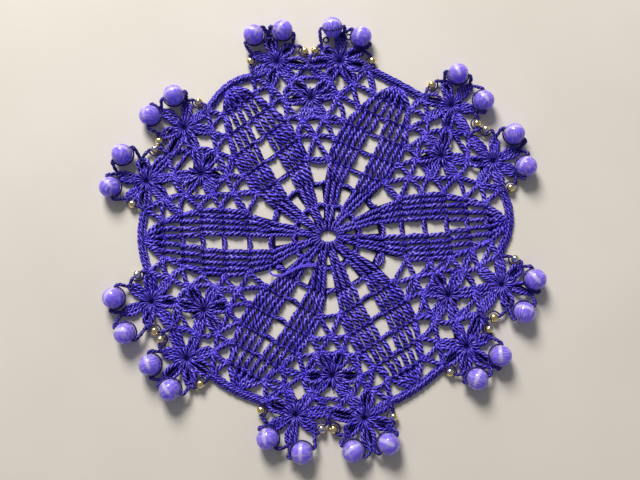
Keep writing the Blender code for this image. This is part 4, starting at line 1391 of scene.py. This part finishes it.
# %% The yarn tail
# along the loose end: the angle from +X in degrees, and the distance from the ring
TAIL = (
    (249, 0.0148), (243, 0.0158), (235, 0.0175), (228, 0.0200), (224, 0.0243), (221, 0.0288),
    (216.5, 0.0318), (212, 0.0325), (209.5, 0.0310),
)
TAIL_HEIGHT, TAIL_PLIES = 0.0031, 4
PLY_RADIUS, PLY_THICKNESS = 0.00036, (1.0, 1.0, 0.7)
PLY_SPREAD, PLIES_CLOSE = 0.00048, (1.2, 0.3)  # the plies lie closer together towards the hook
tail_line = [raised(turned(angle, 0.0, radius), TAIL_HEIGHT) for angle, radius in TAIL]
tail = []
for k in range(TAIL_PLIES):
    share = 2 * k / (TAIL_PLIES - 1) - 1
    line = []
    for i, point in enumerate(tail_line):
        along = tail_line[min(i + 1, len(tail_line) - 1)] - tail_line[max(i - 1, 0)]
        apart = PLY_SPREAD * share * value_at(PLIES_CLOSE, i / (len(tail_line) - 1))
        line.append(point + left_of(along).to_3d() * apart)
    tail.append(strand(line, PLY_RADIUS, PLY_THICKNESS, uneven=NEAT))
thread_piece("yarn_tail", tail, loose_cotton)
bpy.data.objects.remove(plied_profile)
print("tail", round(sum((b - a).length for a, b in zip(tail_line, tail_line[1:])) * 1000), "mm long")

# %% [markdown]
# ## Ride on the frame
# Every piece rides on the root's empty, so the ground, the stitches and the beads move together.

# %% Body
for piece in [lace_ground, *thread_pieces, *bead_pieces]:
    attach(piece, "root")
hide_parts("lace")
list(bead_pieces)
pieces = [lace_ground, *thread_pieces, *bead_pieces]
triangles = sum(len(face.vertices) - 2 for piece in pieces for face in piece.data.polygons)
print(len(pieces), "pieces,", triangles, "triangles")

# %% [markdown]
# ## Floor, light and camera
# The floor is plain and pale. One large soft light stands where a window would, behind and a little to the
# left, and a pale sky fills the shadows. The camera looks down from a little in front.

# %% Floor
FLOOR_REACH, FLOOR_PATCH = 2.0, 1 / 12  # metres
floor_material, shader = new_material("Plaster, smoothed")
place = add_node(floor_material, "ShaderNodeTexCoord")
patches = add_noise(floor_material, FLOOR_PATCH, detail=4.0, place=place.outputs["Object"])
floor_colour = add_node(floor_material, "ShaderNodeValToRGB", Fac=patches.outputs["Fac"])
set_stops(floor_colour, (0.3, "#CFC8BE"), (0.7, "#D6CFC6"))
floor_material.node_tree.links.new(floor_colour.outputs["Color"], shader.inputs["Base Color"])
shader.inputs["Roughness"].default_value = 0.6
bm = bmesh.new()
bmesh.ops.create_grid(bm, x_segments=1, y_segments=1, size=FLOOR_REACH)
mesh = bpy.data.meshes.new("floor")
bm.to_mesh(mesh)
bm.free()
floor = add_piece("floor", mesh, floor_material, bpy.context.scene.collection)
print("floor", 2 * FLOOR_REACH, "m wide")

# %% Light
SKY_COLOUR, SKY_STRENGTH = "#EEF1F6", 0.25
WINDOW_COLOUR, WINDOW_POWER = "#FFFDF8", 46.5           # watts
WINDOW_AT, WINDOW_SIZE = Vector((-0.44, 1.34, 1.06)), 0.66  # metres
world = bpy.data.worlds.new("Pale room")
world.use_nodes = True
world.node_tree.nodes["Background"].inputs["Color"].default_value = linear(SKY_COLOUR)
world.node_tree.nodes["Background"].inputs["Strength"].default_value = SKY_STRENGTH
bpy.context.scene.world = world
light = bpy.data.lights.new("Window", "AREA")
light.shape = "SQUARE"
light.size = WINDOW_SIZE
light.energy = WINDOW_POWER
light.color = linear(WINDOW_COLOUR)[:3]
window = bpy.data.objects.new("Window", light)
window.location = WINDOW_AT
window.rotation_euler = (-WINDOW_AT).to_track_quat("-Z", "Y").to_euler()
bpy.context.scene.collection.objects.link(window)
print("window", round(WINDOW_AT.length, 2), "m away")

# %% Camera
LENS, SENSOR_WIDTH = 45.0, 36.0  # millimetres
CAMERA_AT, LOOKS_AT = Vector((-0.0003, -0.0665, 0.3758)), Vector((-0.0003, -0.0036, 0.0))
camera_data = bpy.data.cameras.new("Camera")
camera_data.lens, camera_data.sensor_width = LENS, SENSOR_WIDTH
camera = bpy.data.objects.new("Camera", camera_data)
camera.location = CAMERA_AT
aim = LOOKS_AT - CAMERA_AT
camera.rotation_euler = aim.to_track_quat("-Z", "Y").to_euler()
bpy.context.scene.collection.objects.link(camera)
bpy.context.scene.camera = camera
bpy.context.scene.view_settings.view_transform = "Standard"
print("camera looks down", round(math.degrees(math.asin(-aim.normalized().z)), 1), "degrees")
